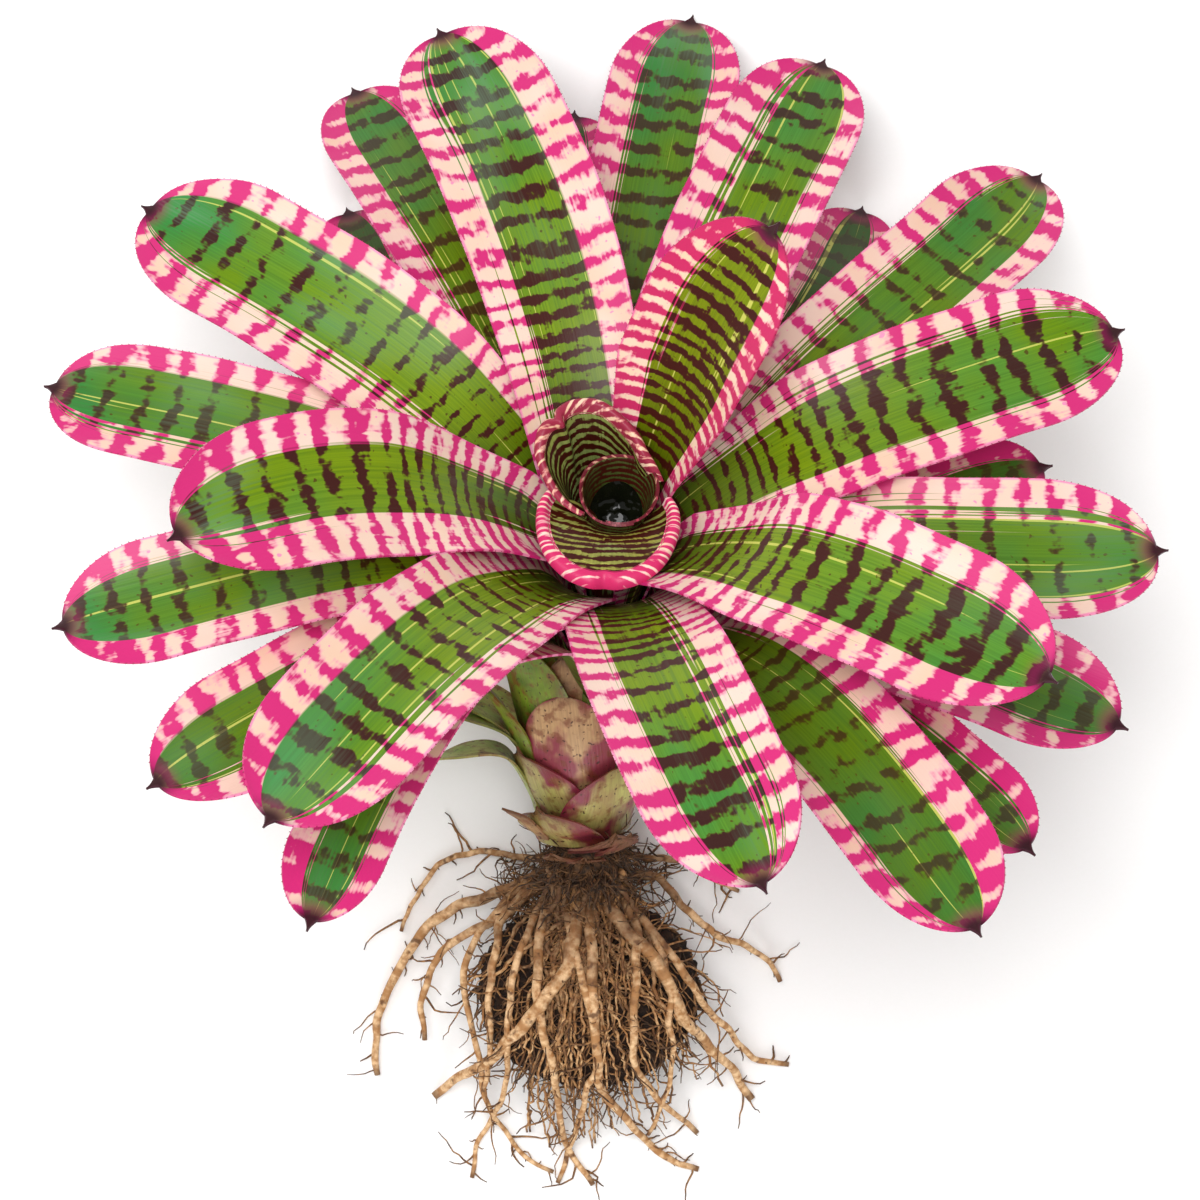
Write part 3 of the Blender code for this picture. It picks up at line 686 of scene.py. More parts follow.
def add_spines():
    """One object of small four-sided spines. Real ones stand about a millimetre apart, so these
    are drawn coarser."""
    places, faces = [], []
    for edge, inner in EDGES:
        lengths = lengths_along(edge)
        for spot in np.arange(BARE_SHARE * lengths[-1], lengths[-1] - BARE_TIP, SPINE_SPACING):
            foot, next_foot = at_lengths((spot, spot + 1.0), lengths, edge)
            inside = at_lengths((spot,), lengths, inner)[0]
            ahead = next_foot - foot
            ahead /= np.linalg.norm(ahead)
            out = foot - inside
            out -= ahead * out.dot(ahead)
            out /= np.linalg.norm(out)
            up = np.cross(out, ahead)
            start = len(places)
            root = foot - 0.25 * out
            places += [root - 0.4 * ahead, root + 0.25 * up, root + 0.5 * ahead, root - 0.25 * up]
            places.append(foot + SPINE_LENGTH * out + 0.5 * ahead)
            faces += [(start + (k + 1) % 4, start + k, start + 4) for k in range(4)]
            faces.append((start, start + 1, start + 2, start + 3))
    mesh = bpy.data.meshes.new("leaf_spines")
    mesh.from_pydata((np.array(places) * MM).tolist(), [], faces)
    # Horn: hard, glossy and dark, a little uneven in tone.
    made, node, shader = new_material("dark crimson spine horn")
    tone = node("TexNoise", (node("TexCoord").node.outputs["Object"], 300.0))
    horn = node("Mix", (tone, "#B00C50", "#5C0A2A"), data_type="RGBA")
    finish_paint(node, shader, horn, 0.4)
    mesh.materials.append(made)
    piece = bpy.data.objects.new("leaf_spines", mesh)
    bpy.context.scene.collection.objects.link(piece)
    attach(piece, "root")
    print("spines:", len(places) // 5)


add_spines()

# %% [markdown]
# ## The cup
# The youngest leaves stand rolled round the water. Each has a wide magenta rim that curls
# outwards. A rim that is seen from straight above is easiest to draw as its own line, so we list
# a few places along it and let the wall fall from there to the stem, one profile for each column
# of the grid.

# %% Cup rims: azimuth in degrees, radius and height in millimetres, slope at the rim
HOOD_RIM = (
    (10, 19.6, -1, 86), (22, 18.0, 4, 84), (38, 16.8, 8, 78), (75, 21.5, 13, 72), (98, 27, 16.5, 66),
    (118, 28.6, 17.5, 60), (138, 27.6, 17, 56), (146, 29.3, 13, 62), (159, 27.7, 8, 70), (170, 24.1, 4, 76),
    (187, 20, 0, 80), (209, 16.4, -2, 82), (229, 14.2, -3, 84),
)
FRONT_RIM = (
    (183, 21.4, -1, 78), (194, 24.8, -1.5, 66), (206, 27.6, -2, 50), (220, 31.4, -2.5, 32), (236,
     36.4, -3, 12),
    (250, 39.8, -3.5, 0), (268, 41.6, -4, -6), (286, 40.4, -3.5, 0), (300, 37.4, -3, 12), (316,
     32.4, -2.5, 32),
    (329, 29, -2, 50), (340, 26, -1.5, 66), (348, 22.8, -1, 78),
)
FRONT_MIDDLE = math.radians(268.0)
RIM_COLUMNS = 150
RIM_ROWS = 84
print("places round the two rims:", len(HOOD_RIM), len(FRONT_RIM))



# %% A leaf that is drawn from its rim
def rim_at(rim, share):
    """A smooth place along the rim: azimuth, radius, height and slope."""
    rim = np.array(rim, float)
    fine = np.linspace(0.0, 1.0, 241)
    dense = at_lengths(fine, np.linspace(0.0, 1.0, len(rim)), rim)
    kernel = np.hanning(23)
    kernel /= kernel.sum()
    reach = len(kernel) // 2
    before = 2 * dense[:1] - dense[reach:0:-1]
    after = 2 * dense[-1:] - dense[-2 : -2 - reach : -1]
    padded = np.vstack((before, dense, after))
    smooth = np.stack([np.convolve(column, kernel, "valid") for column in padded.T], axis=1)
    return at_lengths((share,), fine, smooth)[0]


def rolled_profile(base, radius, height, slope, leaving, leaving_slope, roll_width, roll_end):
    """One upright profile: up the wall, then over the curled rim to its underside."""
    slope_in = math.radians(slope)
    bend = roll_width / (1.0 + math.sin(slope_in))
    foot = (radius - roll_width, height - bend * (1.0 - math.cos(slope_in)) * 0.6)
    points, _ = midrib(base, 80.0, leaving, leaving_slope, foot, slope)
    turns = np.linspace(slope_in, -math.radians(roll_end), 40)[1:]
    outwards = foot[0] + bend * (math.sin(slope_in) - np.sin(turns))
    upwards = foot[1] + bend * (np.cos(turns) - math.cos(slope_in))
    path = np.vstack((points, np.stack((outwards, upwards), axis=1)))
    return path, lengths_along(path)


def add_rolled_leaf(name, node, order, rim, leave, roll, lips, bands, paint, seed):
    """leave: radius and height where the wall turns out, its slope there, and how much it follows
    a wider rim. roll: width and end angle of the curl. lips: depth of the coloured lip, and how
    far it swells at one azimuth. bands: how close they stand down the wall and round the rim, how
    straight across they run, and how much the rim's bands join up at its tip."""
    piece, sheet = leaf_sheet(name, RIM_COLUMNS, RIM_ROWS)
    leave_radius, leave_height, leave_slope, widening = leave
    lip_depth, lip_swell, lip_azimuth = lips
    down_wall, round_rim, straight, joined = bands
    places, blade, pattern, pigment = np.zeros((4, len(sheet), 3))
    for across in np.unique(np.round(sheet[:, 0], 6)):
        column = np.abs(sheet[:, 0] - across) < 1e-5
        count = column.sum()
        share = (across + 1.0) / 2.0
        azimuth, radius, height, slope = rim_at(rim, share)
        angle = math.radians(azimuth)
        away = (share - 0.5) * 120.0
        notch = math.exp(-((away / 2.4) ** 2))
        ends = 0.55 + 0.45 * min(1.0, 5.0 * min(share, 1.0 - share))
        width = roll[0] * ends * (1.0 + 0.35 * notch)
        beside_tube = leave_radius + 3.5 * math.cos(angle) - 1.3 * math.sin(angle)
        beside_tube += widening * (radius - 20.0)
        leaving = (min(beside_tube, radius - width - 1.0), leave_height)
        path, lengths = rolled_profile(
            node_base(-order), radius - 2.0 * notch, height, slope, leaving, leave_slope, width, roll[1]
        )
        along = lengths[-1] * (1.0 - (1.0 - (sheet[column, 1] + 1.0) / 2.0) ** 1.7)
        r, h = at_lengths(along, lengths, path).T
        places[column] = columns_of(count, r * math.cos(angle), r * math.sin(angle), h)
        from_edge = lengths[-1] - along
        lip = lip_depth * (1.0 + lip_swell * math.cos(angle - math.radians(lip_azimuth)))
        out = np.clip(1.0 - from_edge / (2.0 * lip), 0.0, 1.0)
        blade[column] = columns_of(count, out, 0.1 + along * MM, 0.1 - 0.085 * notch)
        down = (1.0 - straight) * from_edge - straight * r * math.cos(angle - FRONT_MIDDLE)
        pattern[column] = columns_of(count, angle * 24.0 * MM, down * down_wall * MM, seed)
        slant = (math.hypot(away, 9.0) - 9.0) * round_rim
        on_cream = 0.16 * joined * math.exp(-((away / 13.0) ** 2))
        pigment[column] = (0.0, on_cream, slant * MM)
    finish_leaf(
        piece,
        into_rosette(places, 0.0),
        paint,
        LEAF_THICKNESS,
        blade=blade,
        pattern=pattern,
        look=(0.5, 0.5, 0.0),
        marks=(0.25, 0.25, 0.0),
        pigment=pigment,
    )
    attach(piece, "root")
    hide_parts(node)
    return piece


hood = add_rolled_leaf(
    "rolled_cup_back",
    "cup_back",
    order=2,
    rim=HOOD_RIM,
    leave=(14.6, -10.5, 76.0, 0.6),
    roll=(3.0, 60.0),
    lips=(4.6, 0.45, 70.0),
    bands=(2.6, 1.9, 0.0, 0.0),
    paint=CUP_SKIN,
    seed=71.0,
)
front = add_rolled_leaf(
    "rolled_cup_front",
    "cup_front",
    order=1,
    rim=FRONT_RIM,
    leave=(13.2, -8.5, 38.0, 0.0),
    roll=(3.8, 80.0),
    lips=(6.4, 0.0, 0.0),
    bands=(3.1, 0.9, 0.85, 1.0),
    paint=FRONT_SKIN,
    seed=75.0,
)
print("cup leaves:", len(hood.data.polygons), len(front.data.polygons), "faces")


# %% The tube in the middle
TUBE_COLUMNS = 96
TUBE_ROWS = 60
TUBE_THICKNESS = 0.8
TUBE_CENTRE = (4.2, -1.6)
TUBE_DEPTH = 53.0
TUBE_HEIGHTS = (-TUBE_DEPTH, -40.0, -20.0, 0.0, 4.0)
TUBE_RADII = (4.0, 6.0, 9.2, 12.9, 13.3)


def add_tube():
    """A sheet rolled a little past a full turn, widened upwards, with a slanting rim."""
    piece, sheet = leaf_sheet("rolled_cup_tube", TUBE_COLUMNS, TUBE_ROWS)
    count = len(sheet)
    share = (sheet[:, 1] + 1.0) / 2.0
    turn = sheet[:, 0] * math.pi * 1.12 + math.radians(90.0)
    top = 3.7 * np.sin(turn) + 0.6 * np.sin(3.0 * turn)
    depth = (top + TUBE_DEPTH) * (1.0 - share)
    height = top - depth
    lift = np.clip((height + TUBE_DEPTH) / TUBE_DEPTH, 0.0, 1.0)
    spiral = 0.55 * sheet[:, 0]
    flare = np.clip(1.0 - depth / 2.0, 0.0, 1.0) ** 2
    radius = np.interp(height, TUBE_HEIGHTS, TUBE_RADII) + spiral * lift + 0.9 * flare
    x = TUBE_CENTRE[0] * lift + radius * np.cos(turn)
    y = TUBE_CENTRE[1] * lift + radius * np.sin(turn)
    edge = np.clip(1.0 - depth / 1.5, 0.0, 1.0)
    finish_leaf(
        piece,
        into_rosette(columns_of(count, x, y, height), 0.0),
        SHADED_TUBE_SKIN,
        TUBE_THICKNESS,
        # The distance along drops with depth, so the painted shade at the leaf foot grows darker down the
        # tube.
        blade=columns_of(count, edge, 0.104 - 0.0028 * depth, 0.1),
        pattern=columns_of(count, turn * 14.0 * MM, depth * 4.0 * MM, 83.0),
        look=(0.5, 0.5, 0.0),
        marks=(0.1, 0.1, 0.0),
        pigment=columns_of(count, 0.04, 0.06, turn * 32.0 * MM),
    )
    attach(piece, "root")
    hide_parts("cup_tube")
    print("tube:", len(piece.data.polygons), "faces")


add_tube()


# %% Water
SHORE_POINTS = 64
WATER_LEVEL = 130.0
WATER_HOLLOW = 3.4


def tube_wall(turn, heights):
    """The tube's inner wall in the row frame, at a turn about its axis and some heights on it."""
    lift = np.clip((heights + TUBE_DEPTH) / TUBE_DEPTH, 0.0, 1.0)
    radius = np.interp(heights, TUBE_HEIGHTS, TUBE_RADII) - 0.2
    x = TUBE_CENTRE[0] * lift + radius * math.cos(turn)
    y = TUBE_CENTRE[1] * lift + radius * math.sin(turn)
    return into_rosette(columns_of(len(heights), x, y, heights), 0.0)


def shore_line(level):
    """Where the level meets the wall all round, in plan."""
    shore = []
    for k in range(SHORE_POINTS):
        wall = tube_wall(2 * math.pi * k / SHORE_POINTS, np.linspace(-45.0, 3.0, 200))
        shore.append(at_lengths((level,), wall[:, 2], wall[:, :2])[0])
    return np.array(shore)


def add_water(level):
    """A level pool in the leaning tube, hollowed a little where it climbs the wall."""
    shore = shore_line(level)
    middle = shore.mean(0)
    bpy.ops.object.select_all(action="DESELECT")
    bpy.ops.mesh.primitive_circle_add(vertices=SHORE_POINTS, radius=1.0, fill_type="NOTHING")
    pool = bpy.context.object
    pool.name = pool.data.name = "cup_water"
    bpy.ops.object.mode_set(mode="EDIT")
    bpy.ops.mesh.select_all(action="SELECT")
    for ring in range(10):
        bpy.ops.mesh.extrude_region_shrink_fatten()
        bpy.ops.transform.resize(value=(0.9 - 0.05 * ring,) * 3)
    bpy.ops.mesh.merge(type="CENTER")
    bpy.ops.object.mode_set(mode="OBJECT")
    for vertex in pool.data.vertices:
        out = min(1.0, vertex.co.length)
        k = math.atan2(vertex.co.y, vertex.co.x) / (2 * math.pi) * SHORE_POINTS % SHORE_POINTS
        low, part = int(k) % SHORE_POINTS, k - int(k)
        edge = shore[low] * (1 - part) + shore[(low + 1) % SHORE_POINTS] * part
        spot = middle + (edge - middle) * out
        vertex.co = Vector((*spot, level + WATER_HOLLOW * out**2 - WATER_HOLLOW)) * MM
    # Still water: clear and almost black over a dark bottom, with slight ripples in its shine.
    made, node, shader = new_material("still dark water")
    ripple = node("TexNoise", (node("TexCoord").node.outputs["Object"], 240.0, 1.0))
    water = node("Mix", (ripple, "#050604", "#12140A"), data_type="RGBA")
    finish_paint(node, shader, water, 0.04, ripple, 0.7, 0.001)
    shader.inputs["IOR"].default_value = 1.33
    pool.data.materials.append(made)
    bpy.ops.object.mode_set(mode="EDIT")
    bpy.ops.mesh.select_all(action="SELECT")
    bpy.ops.mesh.normals_make_consistent(inside=False)
    bpy.ops.object.mode_set(mode="OBJECT")
    depth = pool.modifiers.new("depth", "SOLIDIFY")
    depth.thickness = 1.0 * MM
    bpy.ops.object.modifier_apply(modifier="depth")
    bpy.ops.object.shade_smooth_by_angle(angle=CREASE)
    pool.select_set(False)
    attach(pool, "root")
    print("water at", level, "mm, with", len(pool.data.polygons), "faces")


add_water(WATER_LEVEL)

# %% [markdown]
# ## Old sheaths round the stem
# Below the living leaves the feet of dead ones still clasp the stem: stiff, half-dry shells, tan
# and pale green with brown specks, magenta where the pigment has stayed, and torn at their ends.
# They are bent from sheets as the leaves are, about the stem's own lower axis, and their ends are
# torn by pushing the last rows back by an uneven amount.


# %% Dry sheath paint
def dry_paint(name, fresh, worn, blush, rough):
    """Half-dry bromeliad sheath: fibrous, dull, speckled, with a blush of old pigment."""
    made, node, shader = new_material(name)
    _, across, along, to_tip = stored(node, "blade")
    pattern, *_ = stored(node, "pattern")
    _, blush_foot, shaded_foot, _ = stored(node, "marks")
    cloud = node("TexNoise", (pattern, 70.0, 4.0, 0.6))
    cloud = node("MapRange", (cloud, 0.36, 0.64))
    fibres = streaks(node, pattern, (1300.0, 60.0, 9.0), 2.0)
    shade = node("MapRange", (fibres, 0.42, 0.68, 0.0, 0.35))

    # The blush keeps to the rims and to the foot.
    patch = streaks(node, pattern, (90.0, 60.0, 5.0), 3.0)
    rim = node("Math", (across,), operation="ABSOLUTE")
    rim = node("MapRange", (rim, 0.45, 1.0, 0.0, 0.24))
    low = node("Math", (blush_foot, along), operation="SUBTRACT")
    low = node("MapRange", (low, -0.012, 0.014, 0.0, 0.22))
    for part in (rim, low):
        patch = node("Math", (patch, part), operation="ADD")
    patch = node("MapRange", (patch, 0.56, 0.72, 0.0, blush), interpolation_type="SMOOTHSTEP")

    # Rusty stains, dark specks, a shaded foot where the next sheath clasps it, and a dry end.
    stains = patches(node, pattern, 190.0, 3.0, 0.52, 0.63, 0.7)
    specks = patches(node, pattern, 520.0, 1.5, 0.64, 0.69, 0.85)
    hidden = node("Math", (shaded_foot, along), operation="SUBTRACT")
    hidden = node("MapRange", (hidden, -0.004, 0.010, 0.0, 0.75))
    dry = node("MapRange", (to_tip, 0.009, 0.001, 0.0, 0.9))
    layers = ((cloud, worn), (shade, "#7A5A38"), (patch, "#86163E"), (stains, "#7A3C20"))
    layers += ((specks, "#3E1A10"), (hidden, "#2E1A0A"), (dry, "#6A4426"))
    skin = fresh
    for share, tint in layers:
        skin = node("Mix", (share, skin, tint), data_type="RGBA")
    finish_paint(node, shader, skin, rough, fibres, 0.6, 0.0004)
    return made


BULB_SKIN = dry_paint("tan leaf sheath", "#CCA474", "#BC9668", 0.9, 0.42)
SHEATH_SKIN = dry_paint("half-dry leaf sheath", "#BEBA66", "#A8905A", 0.95, 0.42)
DRY_SKIN = dry_paint("torn dry sheath end", "#B48C5E", "#5E3A20", 0.1, 0.65)
PAPER_SKIN = dry_paint("papery dead sheath", "#A87650", "#6E4028", 0.6, 0.6)
OLD_LEAF_SKIN = dry_paint("fading old leaf", "#88AC3C", "#B4BC66", 0.35, 0.42)
BASE_SKIN = dry_paint("green leaf base", "#7E9A24", "#4C6A10", 0.2, 0.42)
print("nodes in a sheath paint:", len(SHEATH_SKIN.node_tree.nodes))


# %% Sheath list
# Azimuth, foot, place where it leaves, tip, half width, clasp, the angles there and at the tip,
# tear, how far up the blush and the shaded foot reach (in metres), and paint. The green bases,
# torn ends and papery flaps have no solid of their own.
STEM_FOOT = Vector((-5.0, -92.0, 30.0))
STEM_LEAN = math.radians(74.0)
STEM_TURN = math.radians(5.0)
SHEATHS = (
    ("sheath_bulb", 260.0, (13.4, 15.0), (22.0, 42.0), (22.5, 70.0), 20.0, 70.0, 82.0, 98.0, 3.0,
     0.034, 0.016, BULB_SKIN),
    ("sheath_left", 212.0, (14.8, 11.0), (21.0, 30.0), (26.0, 46.0), 30.0, 66.0, 76.0, 74.0, 6.0,
     0.0, 0.012, SHEATH_SKIN),
    ("sheath_right", 314.0, (16.6, 8.0), (23.0, 25.0), (26.0, 41.0), 40.0, 76.0, 74.0, 78.0, 2.0,
     0.0, 0.008, SHEATH_SKIN),
    ("sheath_lower", 236.0, (17.95, 6.5), (25.4, 16.0), (30.0, 26.0), 34.0, 60.0, 68.0, 60.0, 5.0,
     0.0, 0.0, SHEATH_SKIN),
    ("sheath_collar", 292.0, (19.2, 4.5), (26.8, 9.0), (30.5, 14.0), 34.0, 50.0, 56.0, 50.0, 5.0,
     0.012, 0.004, PAPER_SKIN),
    ("old_leaf_withered", 186.0, (17.0, 13.0), (25.0, 37.0), (58.0, 40.0), 9.5, 24.0, 60.0, -8.0,
     1.5, 0.0, 0.0, OLD_LEAF_SKIN),
    ("old_leaf_green", 158.0, (13.8, 20.0), (21.5, 44.0), (74.0, 66.0), 15.0, 50.0, 50.0, 10.0,
     0.5, 0.0, 0.0, OLD_LEAF_SKIN),
    ("green_base_front", 256.0, (14.0, 24.0), (17.0, 54.0), (16.0, 100.0), 17.0, 60.0, 84.0, 92.0,
     1.0, 0.0, 0.0, BASE_SKIN),
    ("green_base_left", 218.0, (14.5, 20.0), (20.0, 46.0), (27.0, 92.0), 20.0, 64.0, 82.0, 82.0,
     1.0, 0.0, 0.0, BASE_SKIN),
    ("green_base_right", 300.0, (14.0, 24.0), (17.5, 50.0), (18.0, 94.0), 16.0, 60.0, 84.0, 90.0,
     1.0, 0.0, 0.0, BASE_SKIN),
    ("green_base_side", 192.0, (14.8, 18.0), (22.0, 40.0), (36.0, 74.0), 14.0, 50.0, 78.0, 66.0,
     1.0, 0.0, 0.0, BASE_SKIN),
    ("green_base_far", 172.0, (14.6, 20.0), (22.0, 42.0), (62.0, 62.0), 15.0, 46.0, 62.0, 22.0,
     1.0, 0.0, 0.0, BASE_SKIN),
    ("torn_end_top", 265.0, (19.4, 58.0), (21.0, 70.0), (25.5, 84.0), 6.5, 40.0, 80.0, 60.0, 9.0,
     0.0, 0.0, DRY_SKIN),
    ("torn_end_left", 226.0, (22.0, 10.0), (26.0, 15.0), (42.0, 28.0), 3.4, 20.0, 50.0, 30.0, 3.0,
     0.0, 0.0, DRY_SKIN),
    ("papery_flap_left", 240.0, (17.2, 1.0), (23.0, 3.0), (27.5, 7.0), 13.0, 40.0, 40.0, 30.0, 7.0,
     0.0, 0.0, PAPER_SKIN),
    ("papery_flap_middle", 268.0, (17.2, 0.0), (22.6, 2.0), (26.5, 5.0), 14.0, 40.0, 40.0, 20.0,
     8.0, 0.0, 0.0, PAPER_SKIN),
    ("papery_flap_right", 306.0, (17.2, 2.0), (24.0, 6.0), (29.0, 12.0), 12.0, 40.0, 50.0, 40.0,
     8.0, 0.0, 0.0, PAPER_SKIN),
)


# %% Bending the sheaths
def onto_stem(points, azimuth):
    """Turns points about the lower stem's axis, lays it back, and moves them to its foot."""
    x, y = turned(points[:, 0], points[:, 1], -math.radians(azimuth))
    y, z = turned(y, points[:, 2], STEM_LEAN)
    x, y = turned(x, y, -STEM_TURN)
    return np.stack((x, y, z), axis=1) + np.array(STEM_FOOT)


SHEATH_COLUMNS = 72
SHEATH_ROWS = 48
SHEATH_THICKNESS = 0.8
BULGE = 0.5
BULGE_RADIUS = 22.0
TURNED_TO_LIGHT = {"old_leaf_withered": math.radians(78.0), "green_base_far": math.radians(66.0)}


def add_sheath(order, entry):
    """One old sheath or leaf: bent as a leaf is, torn at its end, and bulged a little by noise."""
    name, azimuth, base, leaving, tip, width, wrap, leaving_angle, tip_angle, tear, *feet, paint = entry
    piece, sheet = leaf_sheet("dry_" + name, SHEATH_COLUMNS, SHEATH_ROWS)
    curve = midrib(base, 80.0, leaving, leaving_angle, tip, tip_angle)
    length = curve[1][-1]
    coarse = np.array([noise.noise((x * 6.0, order * 3.7, 0.0)) for x in sheet[:, 0]])
    fine = np.array([noise.noise((x * 19.0, order * 1.3, 4.0)) for x in sheet[:, 0]])
    torn = sheet.copy()
    torn[:, 1] -= 1.6 * tear / length * np.abs(coarse + 0.7 * fine) * smoothstep(sheet[:, 1] * 1.6 - 0.4)
    roll = TURNED_TO_LIGHT.get(name, 0.0)
    bent, offset, along, _ = bend_leaf(torn, curve, width, math.radians(wrap), roll=roll)
    bulge = np.array([noise.noise((o / 9.0, a / 14.0, order * 2.0)) for o, a in zip(offset, along)])
    bent[:, :2] *= 1.0 + bulge[:, None] * BULGE / BULGE_RADIUS
    to_edge = (1.0 - (sheet[:, 1] + 1.0) / 2.0) * length
    finish_leaf(
        piece,
        onto_stem(bent, azimuth),
        paint,
        SHEATH_THICKNESS,
        blade=columns_of(len(along), sheet[:, 0], along * MM, to_edge * MM),
        pattern=columns_of(len(along), offset * MM, along * MM, 130.0 + order),
        marks=(*feet, 0.0),
    )
    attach(piece, "root")
    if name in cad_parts:
        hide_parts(name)


for order, entry in enumerate(SHEATHS):
    add_sheath(order, entry)
print("sheaths:", len(SHEATHS))


# %% The stem's own skin
def stem_paint():
    """Olive-brown stem skin with ring scars, read from the part's own place in space."""
    made, node, shader = new_material("scarred stem skin")
    place = node("TexCoord").node.outputs["Object"]
    scars = streaks(node, place, (40.0, 500.0, 40.0), 3.0)
    soft = node("MapRange", (scars, 0.4, 0.62))
    skin = node("Mix", (soft, "#6C7A2E", "#4A3A1C"), data_type="RGBA")
    finish_paint(node, shader, skin, 0.6, scars, 0.5, 0.0005)
    return made


stem_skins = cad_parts["stem"].data.materials
stem_skins.clear()
stem_skins.append(stem_paint())
print("stem paint:", stem_skins[0].name)

# %% [markdown]
# ## Roots
# Bromeliad roots are wiry: a tan corky bark over a tough core, with swollen joints, dark scars,
# and hair-fine side roots. Each root is a tube along a smooth line, lifted over the dark lump of
# fine roots and soil and laid on the ground beyond it.

# %% Root routes, in plan: width at the crown, then points in millimetres
CORE_CENTRE = (-4.0, -146.5, 19.0)
CORE_AXES = (42.0, 36.0, 24.0)
CROWN_CENTRE = (-5.0, -94.5, 30.0)
ROOTS = (
    (2.6, (-24, -97), (-43, -95), (-58, -98), (-67, -108), (-72, -117), (-75, -125)),
    (4.6, (-24, -104), (-48, -113), (-63, -121), (-73, -135), (-82, -151), (-85, -166), (-84, -179)),
    (3.8, (-26, -108), (-44, -122), (-58, -130), (-64, -142), (-67, -154), (-66, -165)),
    (3.6, (-25, -109), (-36, -118), (-39, -132), (-41, -143), (-41, -157), (-41, -171), (-44, -184)),
    (5.8, (-9, -104), (-8, -115), (-11, -132), (-18, -144), (-30, -159), (-41, -171), (-52, -179),
     (-63, -187)),
    (5.6, (-1, -106), (7, -119), (18, -130), (25, -140), (31, -154), (39, -165), (49, -176), (57, -188)),
    (3.6, (6, -108), (24, -128), (37, -148), (48, -161), (58, -172), (71, -175)),
    (3.4, (8, -101), (21, -104), (32, -115), (43, -125), (55, -130), (64, -137), (68, -144)),
    (3.0, (9, -96), (30, -98), (43, -105), (52, -109)),
    (3.8, (-18, -108), (-23, -132), (-23, -146), (-21, -159), (-18, -173), (-16, -187),
     (-14, -201), (-8, -213), (-3, -220.5)),
    (3.2, (-13, -110), (-4, -150), (-1, -171), (-5, -182), (-7, -191), (-11, -206), (-16, -220)),
    (4.2, (-4, -110), (-3, -132), (-1, -164), (0, -180), (7, -191), (18, -205), (28, -212), (37, -215)),
    (3.6, (5, -107), (13, -122), (13, -140), (13, -154), (13, -171), (20, -184), (28, -193), (37, -201)),
    (2.8, (10, -110), (24, -134), (26, -159), (27, -171), (24, -187), (18, -201)),
    (2.8, (-20, -110), (-31, -134), (-34, -152), (-34, -169), (-35, -180), (-40, -194),
     (-47, -206), (-48, -218)),
    (2.8, (-26, -104), (-46, -126), (-51, -142), (-48, -157), (-45, -172), (-43, -186),
     (-36, -201), (-28, -210), (-17, -216)),
)
print("root routes:", len(ROOTS))


# %% Tubes along lines
def smooth_route(points, step):
    """Points about a step apart on a smooth curve through the given ones."""
    points = np.array(points, float)
    padded = np.vstack((2 * points[0] - points[1], points, 2 * points[-1] - points[-2]))
    route = [points[0]]
    for a, b, c, d in zip(padded, padded[1:], padded[2:], padded[3:]):
        count = max(1, round(np.linalg.norm(c - b) / step))
        square, cube = 2 * a - 5 * b + 4 * c - d, 3 * b - a - 3 * c + d
        for t in np.arange(1, count + 1) / count:
            route.append(0.5 * (2 * b + (c - a) * t + square * t**2 + cube * t**3))
    return np.array(route)


def tube(points, radii, sides, start):
    """Points and faces of a closed tube, its faces numbered from a start."""
    points, radii = np.asarray(points, float), np.asarray(radii, float)
    forward = np.gradient(points, axis=0)
    forward /= np.linalg.norm(forward, axis=1)[:, None] + 1e-9
    across = np.array((0.13, 0.21, 0.97))
    rings = []
    for way, middle, radius in zip(forward, points, radii):
        across = across - way * across.dot(way)
        across /= np.linalg.norm(across)
        other = np.cross(way, across)
        turns = np.arange(sides) * 2 * math.pi / sides
        around = np.cos(turns)[:, None] * across + np.sin(turns)[:, None] * other
        rings.append(middle + radius * around)
    places = np.vstack(rings + [points[:1], points[-1:]])
    n = len(points)
    faces = []
    for i in range(n - 1):
        for k in range(sides):
            a, b = start + i * sides + k, start + i * sides + (k + 1) % sides
            faces.append((a, b, b + sides, a + sides))
    first, last = start + n * sides, start + n * sides + 1
    for k in range(sides):
        faces.append((first, start + (k + 1) % sides, start + k))
        faces.append((last, first - sides + k, first - sides + (k + 1) % sides))
    return places, faces


def mesh_piece(name, tubes, paint):
    """One object from many tubes. It stores the distance along each, a seed and its length."""
    places, faces, marks = [], [], []
    start = 0
    for number, (points, radii, sides) in enumerate(tubes):
        spots, walls = tube(points, radii, sides, start)
        lengths = lengths_along(points)
        along = np.concatenate((np.repeat(lengths, sides), (0.0, lengths[-1])))
        marks.append(columns_of(len(along), along * MM, number * 0.77, lengths[-1] * MM))
        places.append(spots)
        faces.extend(walls)
        start += len(spots)
    mesh = bpy.data.meshes.new(name)
    mesh.from_pydata((np.vstack(places) * MM).tolist(), [], faces)
    write_attribute(mesh, "strand", np.vstack(marks))
    mesh.materials.append(paint)
    piece = bpy.data.objects.new(name, mesh)
    bpy.context.scene.collection.objects.link(piece)
    for polygon in mesh.polygons:
        polygon.use_smooth = True
    return piece


CORE_CLEARANCE = 4.2
LEAVES_CORE_AT = 0.93
FALL_BEYOND_CORE = 46.0


def root_height(x, y, radius):
    """How high a root lies at a place in plan: over the core, then falling to the surface."""
    width, length, height = (axis + CORE_CLEARANCE for axis in CORE_AXES)
    away = math.hypot((x - CORE_CENTRE[0]) / width, (y - CORE_CENTRE[1]) / length)
    top = CORE_CENTRE[2] + height * math.sqrt(1.0 - min(away, LEAVES_CORE_AT) ** 2)
    return max(top - FALL_BEYOND_CORE * max(0.0, away - LEAVES_CORE_AT), radius + 0.2)


